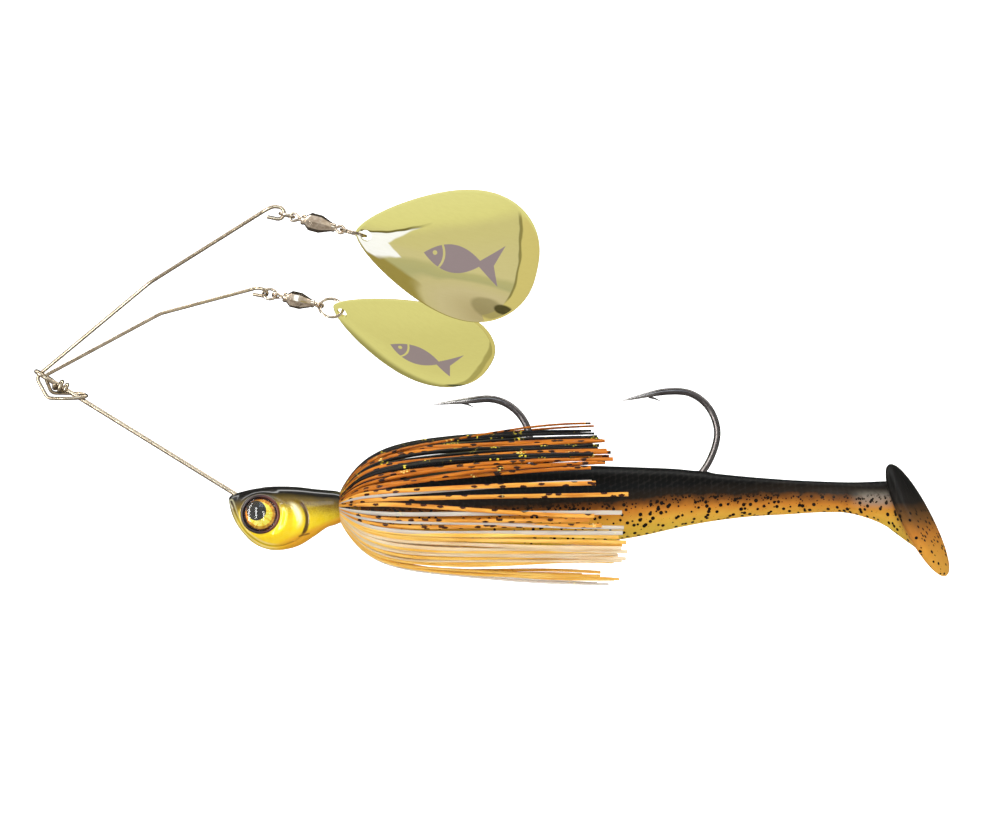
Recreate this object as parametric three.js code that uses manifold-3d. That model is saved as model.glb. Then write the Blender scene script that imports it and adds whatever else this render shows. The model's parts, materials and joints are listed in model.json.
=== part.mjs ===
// A twin-arm spinnerbait: a fish-shaped lead head on a heavy wire, two lighter wire arms that each carry a
// ball-bearing swivel and a dished blade, a skirt, and a soft paddle-tail bait on a main hook and a
// stinger hook.
// Millimetres, +Z up, +X from the line tie to the tail, and -Y is the side the blades' domes face.
// The origin is the outer face of the eye at the end of the main wire, where the line is tied.

import * as THREE from "three";
import { mergeVertices } from "three/addons/utils/BufferGeometryUtils.js";
import Module from "manifold-3d";

// ---------- driving dimensions ----------
const CUT_GAP = 0.12; // left around a piece that is cast or threaded into another
const LINK_GAP = 0.12; // running clearance between linked wires
const DEGREE = Math.PI / 180;
const UP = new THREE.Vector3(0, 0, 1);
const ACROSS = new THREE.Vector3(0, 1, 0);

const MAIN_WIRE = { radius: 0.47, sides: 8, slope: 31.7 * DEGREE, straightFrom: 5, straightTo: 49.15 };
const EYE = {
  halfWidth: 1.45,
  sideEnd: 3.6,
  sideShare: 0.85,
  closing: 0.3, // how far past a half turn each end of the eye's arc goes, in radians
  wrapStart: 5.3,
  wrapPitch: 1.45,
  wraps: 2,
};
const EYE_STEPS = 7; // an odd count, so that one facet faces straight out
const WRAP_STEPS = 8; // in each turn of the wrap
const WIRE_END = { halfWidth: 1.34, start: 51.6, turn: 52.8, hookEye: 54.1, points: 11 }; // inside the head
const ARM_WIRE = { radius: 0.39, sides: 6 };

const CHAIN = {
  // stations along a chain of links, from the middle of the wire arm's loop
  loopArc: { x: 0.85, radius: 1.2 },
  ring: { radius: 1.43, wire: 0.32 },
  frontEye: { radius: 0.75, wire: 0.3, pin: 0.34, pinHead: 1, pinHeadLength: 0.4 },
  barrel: { front: 5.7, length: 7, radius: 1.8, wall: 0.45, neck: 1.05, tail: 0.78, sides: 10 },
  rearEye: { radius: 0.72, wire: 0.28, standOff: 1.15, inside: 1.6 },
  splitRing: { radius: 2.6, wire: 0.3 },
};
const RING_SIDES = { around: 14, across: 6 };
const BALL = { radius: 0.3, circle: 0.74, count: 5, behindFront: 2.15 };

const UPPER = { at: [52.4, -22, 31.4], slope: 14.8, roll: 0, blade: { pitch: -3.2, roll: 20 } };
const LOWER = { at: [44.7, 22, 17.6], slope: 12.6, roll: 52, blade: { pitch: 14.3, roll: 0 } };
const UPPER_ARM_BEND = [25.6, -9.2, 17.9];
const LOWER_ARM_BEND = [24.9, 11, 12.3];

const BLADE = {
  length: 37.4,
  halfWidth: 13.8,
  depth: 4.4,
  deepest: 0.56, // the share of the length where the dish is deepest
  thickness: 0.7,
  hole: 1.15,
  holeAt: 2.3,
};

const SHANK_Z = -28.6; // the line that the main hook's shank and the skirt share
const HEAD_SIDES = 20;
const EYE_SOCKET = { x: 47.8, z: -30.1, radius: 3.55, floor: 3.1 };
const EYE_LENS = { radius: 3.4, foil: 0.25, edge: 0.25, dome: 1.25, gap: 0.06 };

const HOOK_WIRE = 0.75;
const STINGER_WIRE = 0.72;
const STINGER_PIVOT = { x: 102.4, z: -24.2, loop: 2.45 };
const BARB_RADIUS = 0.3;

const COLLAR = { radius: 3, wire: 0.45, x: 66 };
const SKIRT = { start: 64.7, length: 58.5, topLength: 52.5, tabs: 8, tabAngle: 35 };
const BELL = { neck: 4.3, swell: 9.3, swellLength: 5.5, widening: 0.035 }; // the skirt's outer radius along it
const TAB = { thinnest: 0.7, thickening: 0.12, thickest: 1.5 };
const BAIT_SIDES = 20;
const JOINT_GAP = 0.3; // between two lengths of the soft bait
const BAIT_GAP = { hook: 0.25, stinger: 0.2, keeper: 0.2 }; // around what is threaded through the soft bait
const BAIT_BREAKS = [
  // each vertical axis that the soft bait flexes about, and the radius of the knuckle around it
  { at: STINGER_PIVOT.x, radius: 5.8 },
  { at: 158, radius: 2.75 },
  { at: 174.5, radius: 2.5 },
];

// ---------- making solids ----------
const wasm = await Module();
wasm.setup();

const vec = (x, y, z) => new THREE.Vector3(x, y, z);
const range = (count) => [...Array(count).keys()];

function fromTriangles(points, triangles) {
  const made = new THREE.BufferGeometry();
  made.setAttribute("position", new THREE.Float32BufferAttribute(points.flatMap((p) => p.toArray()), 3));
  made.setIndex(triangles.flat());
  return outward(made);
}

function signedVolume(geometry) {
  const p = geometry.attributes.position;
  const corner = (i) => vec(p.getX(i), p.getY(i), p.getZ(i));
  const order = geometry.index.array;
  let sum = 0;
  for (let i = 0; i < order.length; i += 3) {
    sum += corner(order[i]).dot(corner(order[i + 1]).cross(corner(order[i + 2])));
  }
  return sum / 6;
}

// Turns every face round if the solid came out inside out.
function outward(geometry) {
  if (signedVolume(geometry) < 0) geometry.index.array.reverse();
  return geometry;
}

// A closed skin over rings of equal point counts, with a fan of triangles over each end.
function loft(rings) {
  const sides = rings[0].length;
  const points = rings.flat();
  const triangles = [];
  for (let r = 0; r + 1 < rings.length; r++) {
    for (let i = 0; i < sides; i++) {
      const a = r * sides + i;
      const b = r * sides + ((i + 1) % sides);
      triangles.push([a, b, b + sides], [a, b + sides, a + sides]);
    }
  }
  const cap = (ring, first, turned) => {
    const middle = points.push(ring.reduce((sum, p) => sum.add(p), vec(0, 0, 0)).divideScalar(sides)) - 1;
    for (let i = 0; i < sides; i++) {
      const edge = [first + i, first + ((i + 1) % sides)];
      triangles.push(turned ? [edge[1], edge[0], middle] : [edge[0], edge[1], middle]);
    }
  };
  cap(rings[0], 0, true);
  cap(rings[rings.length - 1], (rings.length - 1) * sides, false);
  return fromTriangles(points, triangles);
}

// Straight runs between points, with each corner rounded off over the given trim length.
function bentPath(points, trim, steps = 3) {
  const path = [points[0]];
  for (let i = 1; i + 1 < points.length; i++) {
    const [before, corner, after] = [points[i - 1], points[i], points[i + 1]];
    const reach = (end) => Math.min(trim, 0.48 * corner.distanceTo(end));
    const enter = corner.clone().add(before.clone().sub(corner).setLength(reach(before)));
    const leave = corner.clone().add(after.clone().sub(corner).setLength(reach(after)));
    path.push(...new THREE.QuadraticBezierCurve3(enter, corner, leave).getPoints(steps));
  }
  path.push(points[points.length - 1]);
  return path;
}

// A closed tube round a path. radiusAt(share of the path's length) gives its radius, and its frame
// starts across +Y.
function tube(path, radiusAt, sides) {
  const radius = typeof radiusAt === "number" ? () => radiusAt : radiusAt;
  const runs = path.slice(1).map((p, i) => p.clone().sub(path[i]));
  const total = runs.reduce((sum, r) => sum + r.length(), 0);
  const directions = runs.map((r) => r.clone().normalize());
  let normal = ACROSS.clone();
  let done = 0;
  const rings = path.map((p, i) => {
    const before = directions[Math.max(i - 1, 0)];
    const after = directions[Math.min(i, directions.length - 1)];
    const tangent = before.clone().add(after).normalize();
    normal = normal.clone().addScaledVector(tangent, -normal.dot(tangent)).normalize();
    const binormal = tangent.clone().cross(normal);
    if (i > 0) done += runs[i - 1].length();
    const r = radius(done / total);
    return range(sides).map((k) => {
      const angle = ((k + 0.5) * 2 * Math.PI) / sides;
      return p
        .clone()
        .addScaledVector(normal, r * Math.cos(angle))
        .addScaledVector(binormal, r * Math.sin(angle));
    });
  });
  return loft(rings);
}

// The space that a wire needs with a gap all round it and past both its ends.
function roomFor(path, radius, gap, sides) {
  const past = (end, inner) => end.clone().add(end.clone().sub(inner).setLength(gap));
  const longer = [past(path[0], path[1]), ...path.slice(1, -1), past(path.at(-1), path.at(-2))];
  return tube(longer, radius + gap, sides);
}

// Points on an arc in the plane of two unit vectors.
function arc(centre, a, b, radius, from, to, steps) {
  return range(steps + 1).map((k) => {
    const angle = from + ((to - from) * k) / steps;
    return centre
      .clone()
      .addScaledVector(a, radius * Math.cos(angle))
      .addScaledVector(b, radius * Math.sin(angle));
  });
}

const curveThrough = (points, steps) =>
  new THREE.CatmullRomCurve3(points, false, "centripetal").getPoints(steps);

function asManifold(geometry) {
  const bare = geometry.clone();
  bare.deleteAttribute("normal");
  bare.deleteAttribute("uv");
  const merged = mergeVertices(bare, 1e-4);
  return new wasm.Manifold(
    new wasm.Mesh({
      numProp: 3,
      vertProperties: new Float32Array(merged.attributes.position.array),
      triVerts: new Uint32Array(merged.index.array),
    }),
  );
}

function asGeometry(solid) {
  const mesh = solid.getMesh();
  const made = new THREE.BufferGeometry();
  made.setAttribute("position", new THREE.BufferAttribute(mesh.vertProperties, 3));
  made.setIndex(new THREE.BufferAttribute(mesh.triVerts, 1));
  return made;
}

const cut = (body, ...tools) =>
  asGeometry(tools.reduce((left, tool) => left.subtract(asManifold(tool)), asManifold(body)));
const join = (...parts) => asGeometry(parts.map(asManifold).reduce((all, part) => all.add(part)));
const overlapOf = (a, b) => asGeometry(asManifold(a).intersect(asManifold(b)));

// A cylinder along an axis, standing from its base point.
function rod(base, axis, radius, length, sides) {
  const made = new THREE.CylinderGeometry(radius, radius, length, sides);
  made.translate(0, length / 2, 0);
  made.applyQuaternion(new THREE.Quaternion().setFromUnitVectors(ACROSS, axis));
  return made.translate(base.x, base.y, base.z);
}

// A profile of [distance from the axis, distance along it] turned round the X axis.
function turned(profile, sides) {
  const made = new THREE.LatheGeometry(profile.map(([r, along]) => new THREE.Vector2(r, along)), sides);
  made.rotateZ(-Math.PI / 2);
  return made;
}

const box = (low, high) => {
  const made = new THREE.BoxGeometry(high[0] - low[0], high[1] - low[1], high[2] - low[2]);
  return made.translate((low[0] + high[0]) / 2, (low[1] + high[1]) / 2, (low[2] + high[2]) / 2);
};

// ---------- materials ----------
const finish = (color, metalness, roughness) => new THREE.MeshStandardMaterial({ color, metalness, roughness });
const STEEL = finish("#a79b8e", 1, 0.3);
const HOOK_STEEL = finish("#4a484b", 1, 0.35);
const BRASS = finish("#d9cf6f", 1, 0.12);
const HEAD_PAINT = finish("#d9b400", 0.5, 0.25);
const FOIL = finish("#f2cf1c", 0.8, 0.3);
const LENS = finish("#f6efe0", 0, 0.05);
const RUBBER = finish("#f08a24", 0, 0.5);
const SOFT_PLASTIC = finish("#d8942a", 0, 0.4);

const lure = new THREE.Group();

function place(parent, name, geometry, material) {
  const made = new THREE.Mesh(geometry, material);
  made.name = name;
  parent.add(made);
  return made;
}

// ---------- main wire, with its wrapped eye ----------
const wireUp = vec(-Math.cos(MAIN_WIRE.slope), 0, Math.sin(MAIN_WIRE.slope)); // from the head to the eye
const wireSide = vec(Math.sin(MAIN_WIRE.slope), 0, Math.cos(MAIN_WIRE.slope));
const APOTHEM = MAIN_WIRE.radius * Math.cos(Math.PI / MAIN_WIRE.sides);
const alongWire = (distance, y = 0) => wireUp.clone().multiplyScalar(-distance).add(vec(0, y, 0));

function mainWirePath() {
  const { halfWidth, sideEnd, sideShare, closing, wrapStart, wrapPitch, wraps } = EYE;
  const { halfWidth: hookLink, start: inHead, turn } = WIRE_END;
  const turnsBack = alongWire(turn);
  const step = (Math.PI + 2 * closing) / EYE_STEPS;
  const eyeCentre = alongWire((APOTHEM + halfWidth) * Math.cos(step / 2));
  const wrapRadius = 2 * MAIN_WIRE.radius + LINK_GAP;
  const wrap = range(WRAP_STEPS * wraps + 1).map((k) => {
    const turns = k / WRAP_STEPS;
    const angle = Math.PI + turns * 2 * Math.PI;
    return alongWire(wrapStart + wrapPitch * turns, wrapRadius * Math.cos(angle)).addScaledVector(
      wireSide,
      wrapRadius * Math.sin(angle),
    );
  });
  return [
    alongWire(inHead, -hookLink),
    ...arc(turnsBack, wireUp, ACROSS, hookLink, 1.5 * Math.PI, 0.5 * Math.PI, 5),
    alongWire(inHead, hookLink),
    alongWire(MAIN_WIRE.straightTo),
    alongWire(MAIN_WIRE.straightFrom),
    alongWire(sideEnd, sideShare * halfWidth),
    ...arc(eyeCentre, ACROSS, wireUp, halfWidth, -closing, Math.PI + closing, EYE_STEPS),
    alongWire(sideEnd, -halfWidth),
    ...wrap,
  ];
}
const mainWirePathPoints = mainWirePath();
const mainWire = tube(mainWirePathPoints, MAIN_WIRE.radius, MAIN_WIRE.sides);
place(lure, "main_wire", mainWire, STEEL);

// ---------- chains of links ----------
// The frame of a chain: +X along it, and +Y across it, rolled about its own line.
function chainFrame({ at, slope, roll }) {
  const turn = new THREE.Matrix4().makeRotationY(slope * DEGREE);
  turn.multiply(new THREE.Matrix4().makeRotationX(roll * DEGREE));
  return new THREE.Matrix4().makeTranslation(...at).multiply(turn);
}

const { ring, frontEye, barrel, rearEye, splitRing, loopArc } = CHAIN;
const loopEnd = loopArc.x + loopArc.radius;
const ringX = loopEnd - ARM_WIRE.radius - ring.wire - LINK_GAP + ring.radius;
const frontEyeX = ringX + ring.radius - ring.wire - frontEye.wire - LINK_GAP + frontEye.radius;
const rearEyeX = barrel.front + barrel.length + rearEye.standOff;
const splitRingX = rearEyeX + rearEye.radius - rearEye.wire - splitRing.wire - LINK_GAP + splitRing.radius;
const holeX = splitRingX + splitRing.radius;

// The open loop at a wire arm's end, in its chain's frame, from where the arm arrives.
function armLoop(frame) {
  const flat = [
    vec(-1.6, 0, 0.1),
    vec(-0.35, 0, 1.08),
    ...arc(vec(loopArc.x, 0, 0), vec(1, 0, 0), UP, loopArc.radius, 0.5 * Math.PI, -0.5 * Math.PI, 6),
    vec(-1.1, 0, -1.3),
  ];
  return flat.map((p) => p.applyMatrix4(frame));
}

function armsWirePath() {
  // The wire runs through the eye, hooks round the main wire, and comes back, in front and then behind.
  const clasp = [
    vec(1.42, -0.42, -0.64),
    vec(0.66, -0.7, -1.8),
    vec(3, -1.25, -5.9),
    vec(6.4, -1.5, -6),
    vec(9.7, -1.2, -5.85),
    vec(10.9, -0.55, -5.5),
    vec(10.9, 0.55, -5.35),
    vec(9.6, 1.3, -4.9),
    vec(6.5, 1.8, -4.85),
    vec(3.4, 0.9, -4.8),
    vec(2.1, 0.38, -1.2),
  ];
  const upper = armLoop(chainFrame(UPPER)).reverse();
  const lower = armLoop(chainFrame(LOWER));
  return bentPath([...upper, vec(...UPPER_ARM_BEND), ...clasp, vec(...LOWER_ARM_BEND), ...lower], 0.75, 2);
}
place(lure, "arms_wire", tube(armsWirePath(), ARM_WIRE.radius, ARM_WIRE.sides), STEEL);

function torus(radius, wire, around = RING_SIDES.around, across = RING_SIDES.across) {
  return new THREE.TorusGeometry(radius, wire, across, around);
}

function frontEyeSolid() {
  const { radius, wire, pin, pinHead, pinHeadLength } = frontEye;
  const ballGap = 0.1;
  const headStart = barrel.front + BALL.behindFront + BALL.radius + ballGap - frontEyeX;
  const loop = torus(radius, wire).rotateX(Math.PI / 2);
  const stem = rod(vec(radius, 0, 0), vec(1, 0, 0), pin, headStart - radius + pinHeadLength / 2, 10);
  const head = rod(vec(headStart, 0, 0), vec(1, 0, 0), pinHead, pinHeadLength, 12);
  return join(loop, stem, head);
}

function barrelSolid() {
  const { length, radius, wall, neck, tail, sides } = barrel;
  const room = radius - wall;
  const [pinHole, stemHole] = [0.5, 0.36];
  const outside = [
    [pinHole, 0],
    [neck, 0],
    [neck, 0.8],
    [radius, 2],
    [radius, 4.3],
    [tail, length],
    [stemHole, length],
  ];
  const inside = [
    [stemHole, 5],
    [room, 4],
    [room, 2],
    [pinHole, 1.5],
    [pinHole, 0],
  ];
  return turned([...outside, ...inside], sides);
}

function rearEyeSolid() {
  const { radius, wire, standOff, inside } = rearEye;
  const loop = torus(radius, wire).rotateX(Math.PI / 2);
  const stem = rod(vec(-standOff - inside, 0, 0), vec(1, 0, 0), wire, standOff + inside - radius, 8);
  return join(loop, stem);
}

// Half width of the blade at a share of its length, from the narrow end.
const bladeHalfWidth = (share) => BLADE.halfWidth * Math.sin(Math.PI * share ** 1.67) ** 0.4;

// A dished teardrop plate, its dome towards -Y, with the hole's centre at the origin and its length along +X.
function bladeSolid() {
  const { length, depth, deepest, thickness, hole, holeAt } = BLADE;
  const steps = 15;
  const centreX = deepest * length;
  const edge = range(steps + 1).map((k) => {
    const share = (1 - Math.cos((Math.PI * k) / steps)) / 2;
    return [share * length, k === 0 || k === steps ? 0 : bladeHalfWidth(share)];
  });
  const outline = [...edge, ...edge.slice(1, -1).reverse().map(([x, z]) => [x, -z])];
  const level = (share) => -depth * (1 - share ** 2);
  const rings = [0.3, 0.6, 0.85, 1];
  const skin = (offset) =>
    rings.map((share) =>
      outline.map(([x, z]) => vec(centreX + (x - centreX) * share, level(share) + offset, z * share)),
    );
  const plate = loft([...skin(0), ...skin(thickness).reverse()]);
  const holeRod = rod(vec(holeAt, -depth - 1, 0), ACROSS, hole, depth + 4, 12);
  const share = (centreX - holeAt) / centreX;
  return cut(plate, holeRod).translate(-holeAt, -level(share) - thickness / 2, 0);
}

function addChain(side, settings) {
  const frame = new THREE.Group();
  frame.applyMatrix4(chainFrame(settings));
  lure.add(frame);
  place(frame, `${side}_ring`, torus(ring.radius, ring.wire), STEEL).position.x = ringX;
  place(frame, `${side}_swivel_front_eye`, frontEyeSolid(), STEEL).position.x = frontEyeX;
  place(frame, `${side}_swivel_barrel`, barrelSolid(), STEEL).position.x = barrel.front;
  range(BALL.count).forEach((k) => {
    const sphere = new THREE.IcosahedronGeometry(BALL.radius, 1);
    const ball = place(frame, `${side}_bearing_ball_${k + 1}`, sphere, STEEL);
    const angle = (2 * Math.PI * k) / BALL.count;
    const x = barrel.front + BALL.behindFront;
    ball.position.set(x, BALL.circle * Math.cos(angle), BALL.circle * Math.sin(angle));
  });
  place(frame, `${side}_swivel_rear_eye`, rearEyeSolid(), STEEL).position.x = rearEyeX;
  place(frame, `${side}_split_ring`, torus(splitRing.radius, splitRing.wire), STEEL).position.x = splitRingX;
  const swing = new THREE.Group();
  swing.position.x = splitRingX;
  swing.rotation.set(settings.blade.roll * DEGREE, settings.blade.pitch * DEGREE, 0, "YXZ");
  place(swing, `${side}_blade`, bladeSolid(), BRASS).position.x = holeX - splitRingX;
  frame.add(swing);
}
addChain("upper", UPPER);
addChain("lower", LOWER);

// ---------- hooks ----------
// Wire that tapers to a point over its last stretch; tipShare is that stretch's share of the length.
const pointed = (radius, tipShare) => (share) => {
  const left = (1 - share) / tipShare;
  return left >= 1 ? radius : radius * Math.max(0.06, left ** 0.75);
};

function barbSolid(root, tip, radius) {
  return tube([root, root.clone().lerp(tip, 0.6), tip], (share) => radius * (1 - 0.85 * share), 5);
}

function mainHookPath() {
  const eyeRadius = 1.75;
  const eye = alongWire(WIRE_END.hookEye);
  const loop = arc(eye, vec(1, 0, 0), UP, eyeRadius, -0.25 * Math.PI, -1.72 * Math.PI, 10);
  const bend = [
    vec(eye.x + 4.2, 0, SHANK_Z),
    vec(74, 0, SHANK_Z),
    vec(92.5, 0, SHANK_Z),
    vec(98.4, 0, -27.7),
    vec(102, 0, -24.9),
    vec(103.9, 0, -20.7),
    vec(104.15, 0, -17),
    vec(103.85, 0, -13.4),
    vec(102.9, 0, -10.8),
    vec(101.2, 0, -8.6),
    vec(98.7, 0, -6.85),
    vec(95.7, 0, -6.05),
    vec(91.5, 0, -6.35),
    vec(83.8, 0, -7.2),
  ];
  return [...loop.reverse(), ...curveThrough(bend, 28)];
}

function stingerPath() {
  const { x, z, loop } = STINGER_PIVOT;
  const centre = vec(x, 0, z);
  const ringPath = arc(centre, vec(1, 0, 0), ACROSS, loop, -0.18 * Math.PI, -1.72 * Math.PI, 10).reverse();
  const bend = [
    vec(x + loop + 2.2, 0, z - 1),
    vec(113, 0, -27.4),
    vec(122, 0, -27.9),
    vec(130.5, 0, -27.5),
    vec(136.4, 0, -25),
    vec(141.2, 0, -20),
    vec(143.4, 0, -13.2),
    vec(141.7, 0, -8),
    vec(138, 0, -5),
    vec(133, 0, -4.5),
    vec(123.4, 0, -6.4),
  ];
  return [...ringPath, ...curveThrough(bend, 24)];
}
const mainHookPoints = mainHookPath();
const stingerPoints = stingerPath();
const MAIN_TIP_SHARE = 0.13;
const STINGER_TIP_SHARE = 0.15;
const mainHook = join(
  tube(mainHookPoints, pointed(HOOK_WIRE, MAIN_TIP_SHARE), 8),
  barbSolid(vec(89.9, 0, -6.9), vec(92.6, 0, -7.95), BARB_RADIUS),
);
const stinger = join(
  tube(stingerPoints, pointed(STINGER_WIRE, STINGER_TIP_SHARE), 8),
  barbSolid(vec(129.2, 0, -5.7), vec(131.7, 0, -6.6), BARB_RADIUS),
);
place(lure, "main_hook", mainHook, HOOK_STEEL);
place(lure, "stinger_hook", stinger, HOOK_STEEL);

// ---------- head ----------
// Each station: along X, top, bottom, half width.
const HEAD_STATIONS = [
  [40.9, -26.6, -28, 0.7],
  [41.7, -26.1, -31, 1.7],
  [43.4, -25.5, -33.8, 2.7],
  [46, -24.8, -36.4, 3.5],
  [49, -24.5, -37.8, 4],
  [52, -24.45, -37.9, 4.2],
  [55.5, -24.75, -37, 3.95],
  [58.8, -25.2, -34.9, 3.5],
  [61.6, -25.3, -33, 3.25],
  [63.2, -25.4, -32.5, 3.1],
];
const NECK = { seat: 2.4, seatEnd: 68.2, barb: 2.9, end: 75 };

// A rounded upright section, a little fuller than an ellipse.
function section(x, y, top, bottom, halfWidth, sides, fullness, across = ACROSS) {
  return range(sides).map((k) => {
    const angle = ((k + 0.5) * 2 * Math.PI) / sides;
    const [c, s] = [Math.cos(angle), Math.sin(angle)];
    const round = (value) => Math.sign(value) * Math.abs(value) ** fullness;
    return vec(x, y, (top + bottom) / 2 + ((top - bottom) / 2) * round(c)).addScaledVector(
      across,
      halfWidth * round(s),
    );
  });
}

function headSolid() {
  const fullness = 0.9;
  const skull = loft(
    HEAD_STATIONS.map(([x, top, low, half]) => section(x, 0, top, low, half, HEAD_SIDES, fullness)),
  );
  const { seat, seatEnd, barb, end } = NECK;
  const first = 62;
  const neck = turned(
    [
      [0, first],
      [seat, first],
      [seat, seatEnd],
      [1.9, seatEnd + 0.1],
      [1.9, 70],
      [barb, 70.6],
      [1.7, 73.2],
      [1.5, end],
      [0, end],
    ],
    12,
  ).translate(0, 0, SHANK_Z);
  const sockets = [-1, 1].map((side) =>
    rod(vec(EYE_SOCKET.x, side * EYE_SOCKET.floor, EYE_SOCKET.z), vec(0, side, 0), EYE_SOCKET.radius, 4, 20),
  );
  const hookRoom = roomFor(mainHookPoints, HOOK_WIRE, CUT_GAP, 8);
  const wireRoom = roomFor(mainWirePathPoints.slice(0, WIRE_END.points), MAIN_WIRE.radius, CUT_GAP, 8);
  return cut(join(skull, neck), ...sockets, hookRoom, wireRoom);
}
place(lure, "head_casting", headSolid(), HEAD_PAINT);

function addEye(side, sign) {
  const { radius, foil, edge, dome, gap } = EYE_LENS;
  const out = vec(0, sign, 0);
  const floor = EYE_SOCKET.floor + CUT_GAP;
  const centre = (y) => vec(EYE_SOCKET.x, sign * y, EYE_SOCKET.z);
  place(lure, `${side}_eye_foil`, rod(centre(floor), out, radius, foil, 20), FOIL);
  const steps = 4;
  const profile = range(steps + 1).map((k) => {
    const angle = (Math.PI / 2) * (1 - k / steps);
    return [radius * Math.sin(angle), edge + (dome - edge) * Math.cos(angle)];
  });
  const lens = turned([[0, 0], [radius, 0], ...profile], 20);
  lens.rotateZ((sign * Math.PI) / 2);
  const base = centre(floor + foil + gap);
  place(lure, `${side}_eye_lens`, lens.translate(base.x, base.y, base.z), LENS);
}
addEye("near", -1);
addEye("far", 1);

// ---------- skirt ----------
function skirtRadius(x) {
  const distance = x - SKIRT.start;
  return BELL.neck + BELL.swell * (1 - Math.exp(-distance / BELL.swellLength)) + BELL.widening * distance;
}
const TAB_NAMES = [
  "top_near",
  "upper_near",
  "lower_near",
  "belly_near",
  "belly_far",
  "lower_far",
  "upper_far",
  "top_far",
];

const collar = torus(COLLAR.radius, COLLAR.wire, 20, 8).rotateY(Math.PI / 2);
place(lure, "skirt_collar", collar.translate(COLLAR.x, 0, SHANK_Z), RUBBER);

// A curved tab of the skirt's bell; azimuth runs from the top towards -Y.
function skirtTab(index) {
  const middle = ((index + 0.5) * 2 * Math.PI) / SKIRT.tabs;
  const half = (SKIRT.tabAngle / 2) * DEGREE;
  const top = index === 0 || index === SKIRT.tabs - 1;
  const stations = [0, 1.2, 3, 6, 11, 20, 34, top ? SKIRT.topLength : SKIRT.length];
  const across = 5;
  const rings = stations.map((distance) => {
    const x = SKIRT.start + distance;
    const outer = skirtRadius(x);
    const inner = outer - Math.min(TAB.thinnest + TAB.thickening * distance, TAB.thickest);
    const at = (radius, k) => {
      const angle = middle + half * ((2 * k) / (across - 1) - 1);
      return vec(x, -radius * Math.sin(angle), SHANK_Z + radius * Math.cos(angle));
    };
    return [...range(across).map((k) => at(outer, k)), ...range(across).reverse().map((k) => at(inner, k))];
  });
  return loft(rings);
}
TAB_NAMES.forEach((name, index) => place(lure, `skirt_${name}`, skirtTab(index), RUBBER));

// ---------- soft bait ----------
// Each station: along the bait's middle line, top, bottom, half width.
const BAIT_STATIONS = [
  [68.7, -26.4, -31.2, 2.3],
  [71.5, -24.6, -33, 3.3],
  [76, -23.2, -34.5, 4.2],
  [84, -21.6, -35.9, 5],
  [95, -20.3, -36.8, 5.45],
  [106, -19.9, -36.9, 5.55],
  [118, -20.1, -36.2, 5.2],
  [127, -20.4, -34.9, 4.7],
  [135.6, -20.8, -33, 4.1],
  [142, -21.6, -31.8, 3.6],
  [150, -22.4, -30.8, 2.95],
  [158, -23, -30.3, 2.5],
  [165, -23.3, -29.8, 2.25],
  [170.5, -23.4, -29.8, 2.15],
  [174.5, -23.3, -30.6, 2.2],
  [178, -23.1, -31.7, 2.3],
  [181.5, -23, -33.4, 2.2],
  [184.6, -23.2, -35.4, 1.6],
];
const CURL = { start: 152, end: 178, angle: 36 * DEGREE }; // how the rear of the tail curls towards -Y
const PADDLE = { along: 186.3, z: -30.9, lean: 29 * DEGREE, half: 12.9, halfWidth: 5.9, thickness: 2.6 };

// Where a distance along the bait's middle line lies in plan, and the way the line heads there.
function baitLine(distance) {
  const { start, end, angle } = CURL;
  const steps = 24;
  let [x, y, heading] = [Math.min(distance, start), 0, 0];
  for (let k = 0; k < steps && distance > start; k++) {
    const step = (distance - start) / steps;
    heading = angle * Math.min(1, (step * (k + 0.5)) / (end - start));
    x += step * Math.cos(heading);
    y -= step * Math.sin(heading);
  }
  return { x, y, heading, across: vec(Math.sin(heading), Math.cos(heading), 0) };
}

function baitSkin() {
  return loft(
    BAIT_STATIONS.map(([distance, top, low, half]) => {
      const { x, y, across } = baitLine(distance);
      return section(x, y, top, low, half, BAIT_SIDES, 0.92, across);
    }),
  );
}

// The paddle: an oval disc across the end of the tail, leaning back at the bottom.
function paddleSolid() {
  const { along, z, lean, half, halfWidth, thickness } = PADDLE;
  const { x, y, heading, across } = baitLine(along);
  const back = vec(Math.cos(heading), -Math.sin(heading), 0);
  const face = back.clone().multiplyScalar(Math.cos(lean)).addScaledVector(UP, Math.sin(lean));
  const long = UP.clone().multiplyScalar(Math.cos(lean)).addScaledVector(back, -Math.sin(lean));
  const layers = [
    [-0.5, 0.62],
    [-0.25, 0.92],
    [0.1, 1],
    [0.4, 0.93],
    [0.5, 0.7],
  ];
  return loft(
    layers.map(([depth, share]) =>
      arc(vec(x, y, z).addScaledVector(face, depth * thickness), long, across, share, 0, 2 * Math.PI, 24)
        .slice(0, -1)
        .map((p) => {
          const offset = p.clone().sub(vec(x, y, z).addScaledVector(face, depth * thickness));
          const up = offset.dot(long) * (half - 1);
          const sideways = offset.dot(across) * (halfWidth - 1);
          return p.addScaledVector(long, up).addScaledVector(across, sideways);
        }),
    ),
  );
}

// Splits the bait at one axis: the front keeps a round knuckle, and the rear a matching socket.
function splitBait(rest, { at, radius }) {
  const { x, y, heading } = baitLine(at);
  const [low, high] = [-60, 10];
  const knuckle = (r) => rod(vec(x, y, low), UP, r, high - low, 40);
  const block = box([-120, -60, low], [0, 60, high]);
  block.rotateZ(-heading);
  block.translate(x, y, 0);
  const ahead = join(block, knuckle(radius));
  return {
    front: overlapOf(rest, ahead),
    rear: cut(rest, block, knuckle(radius + JOINT_GAP)),
  };
}

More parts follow.
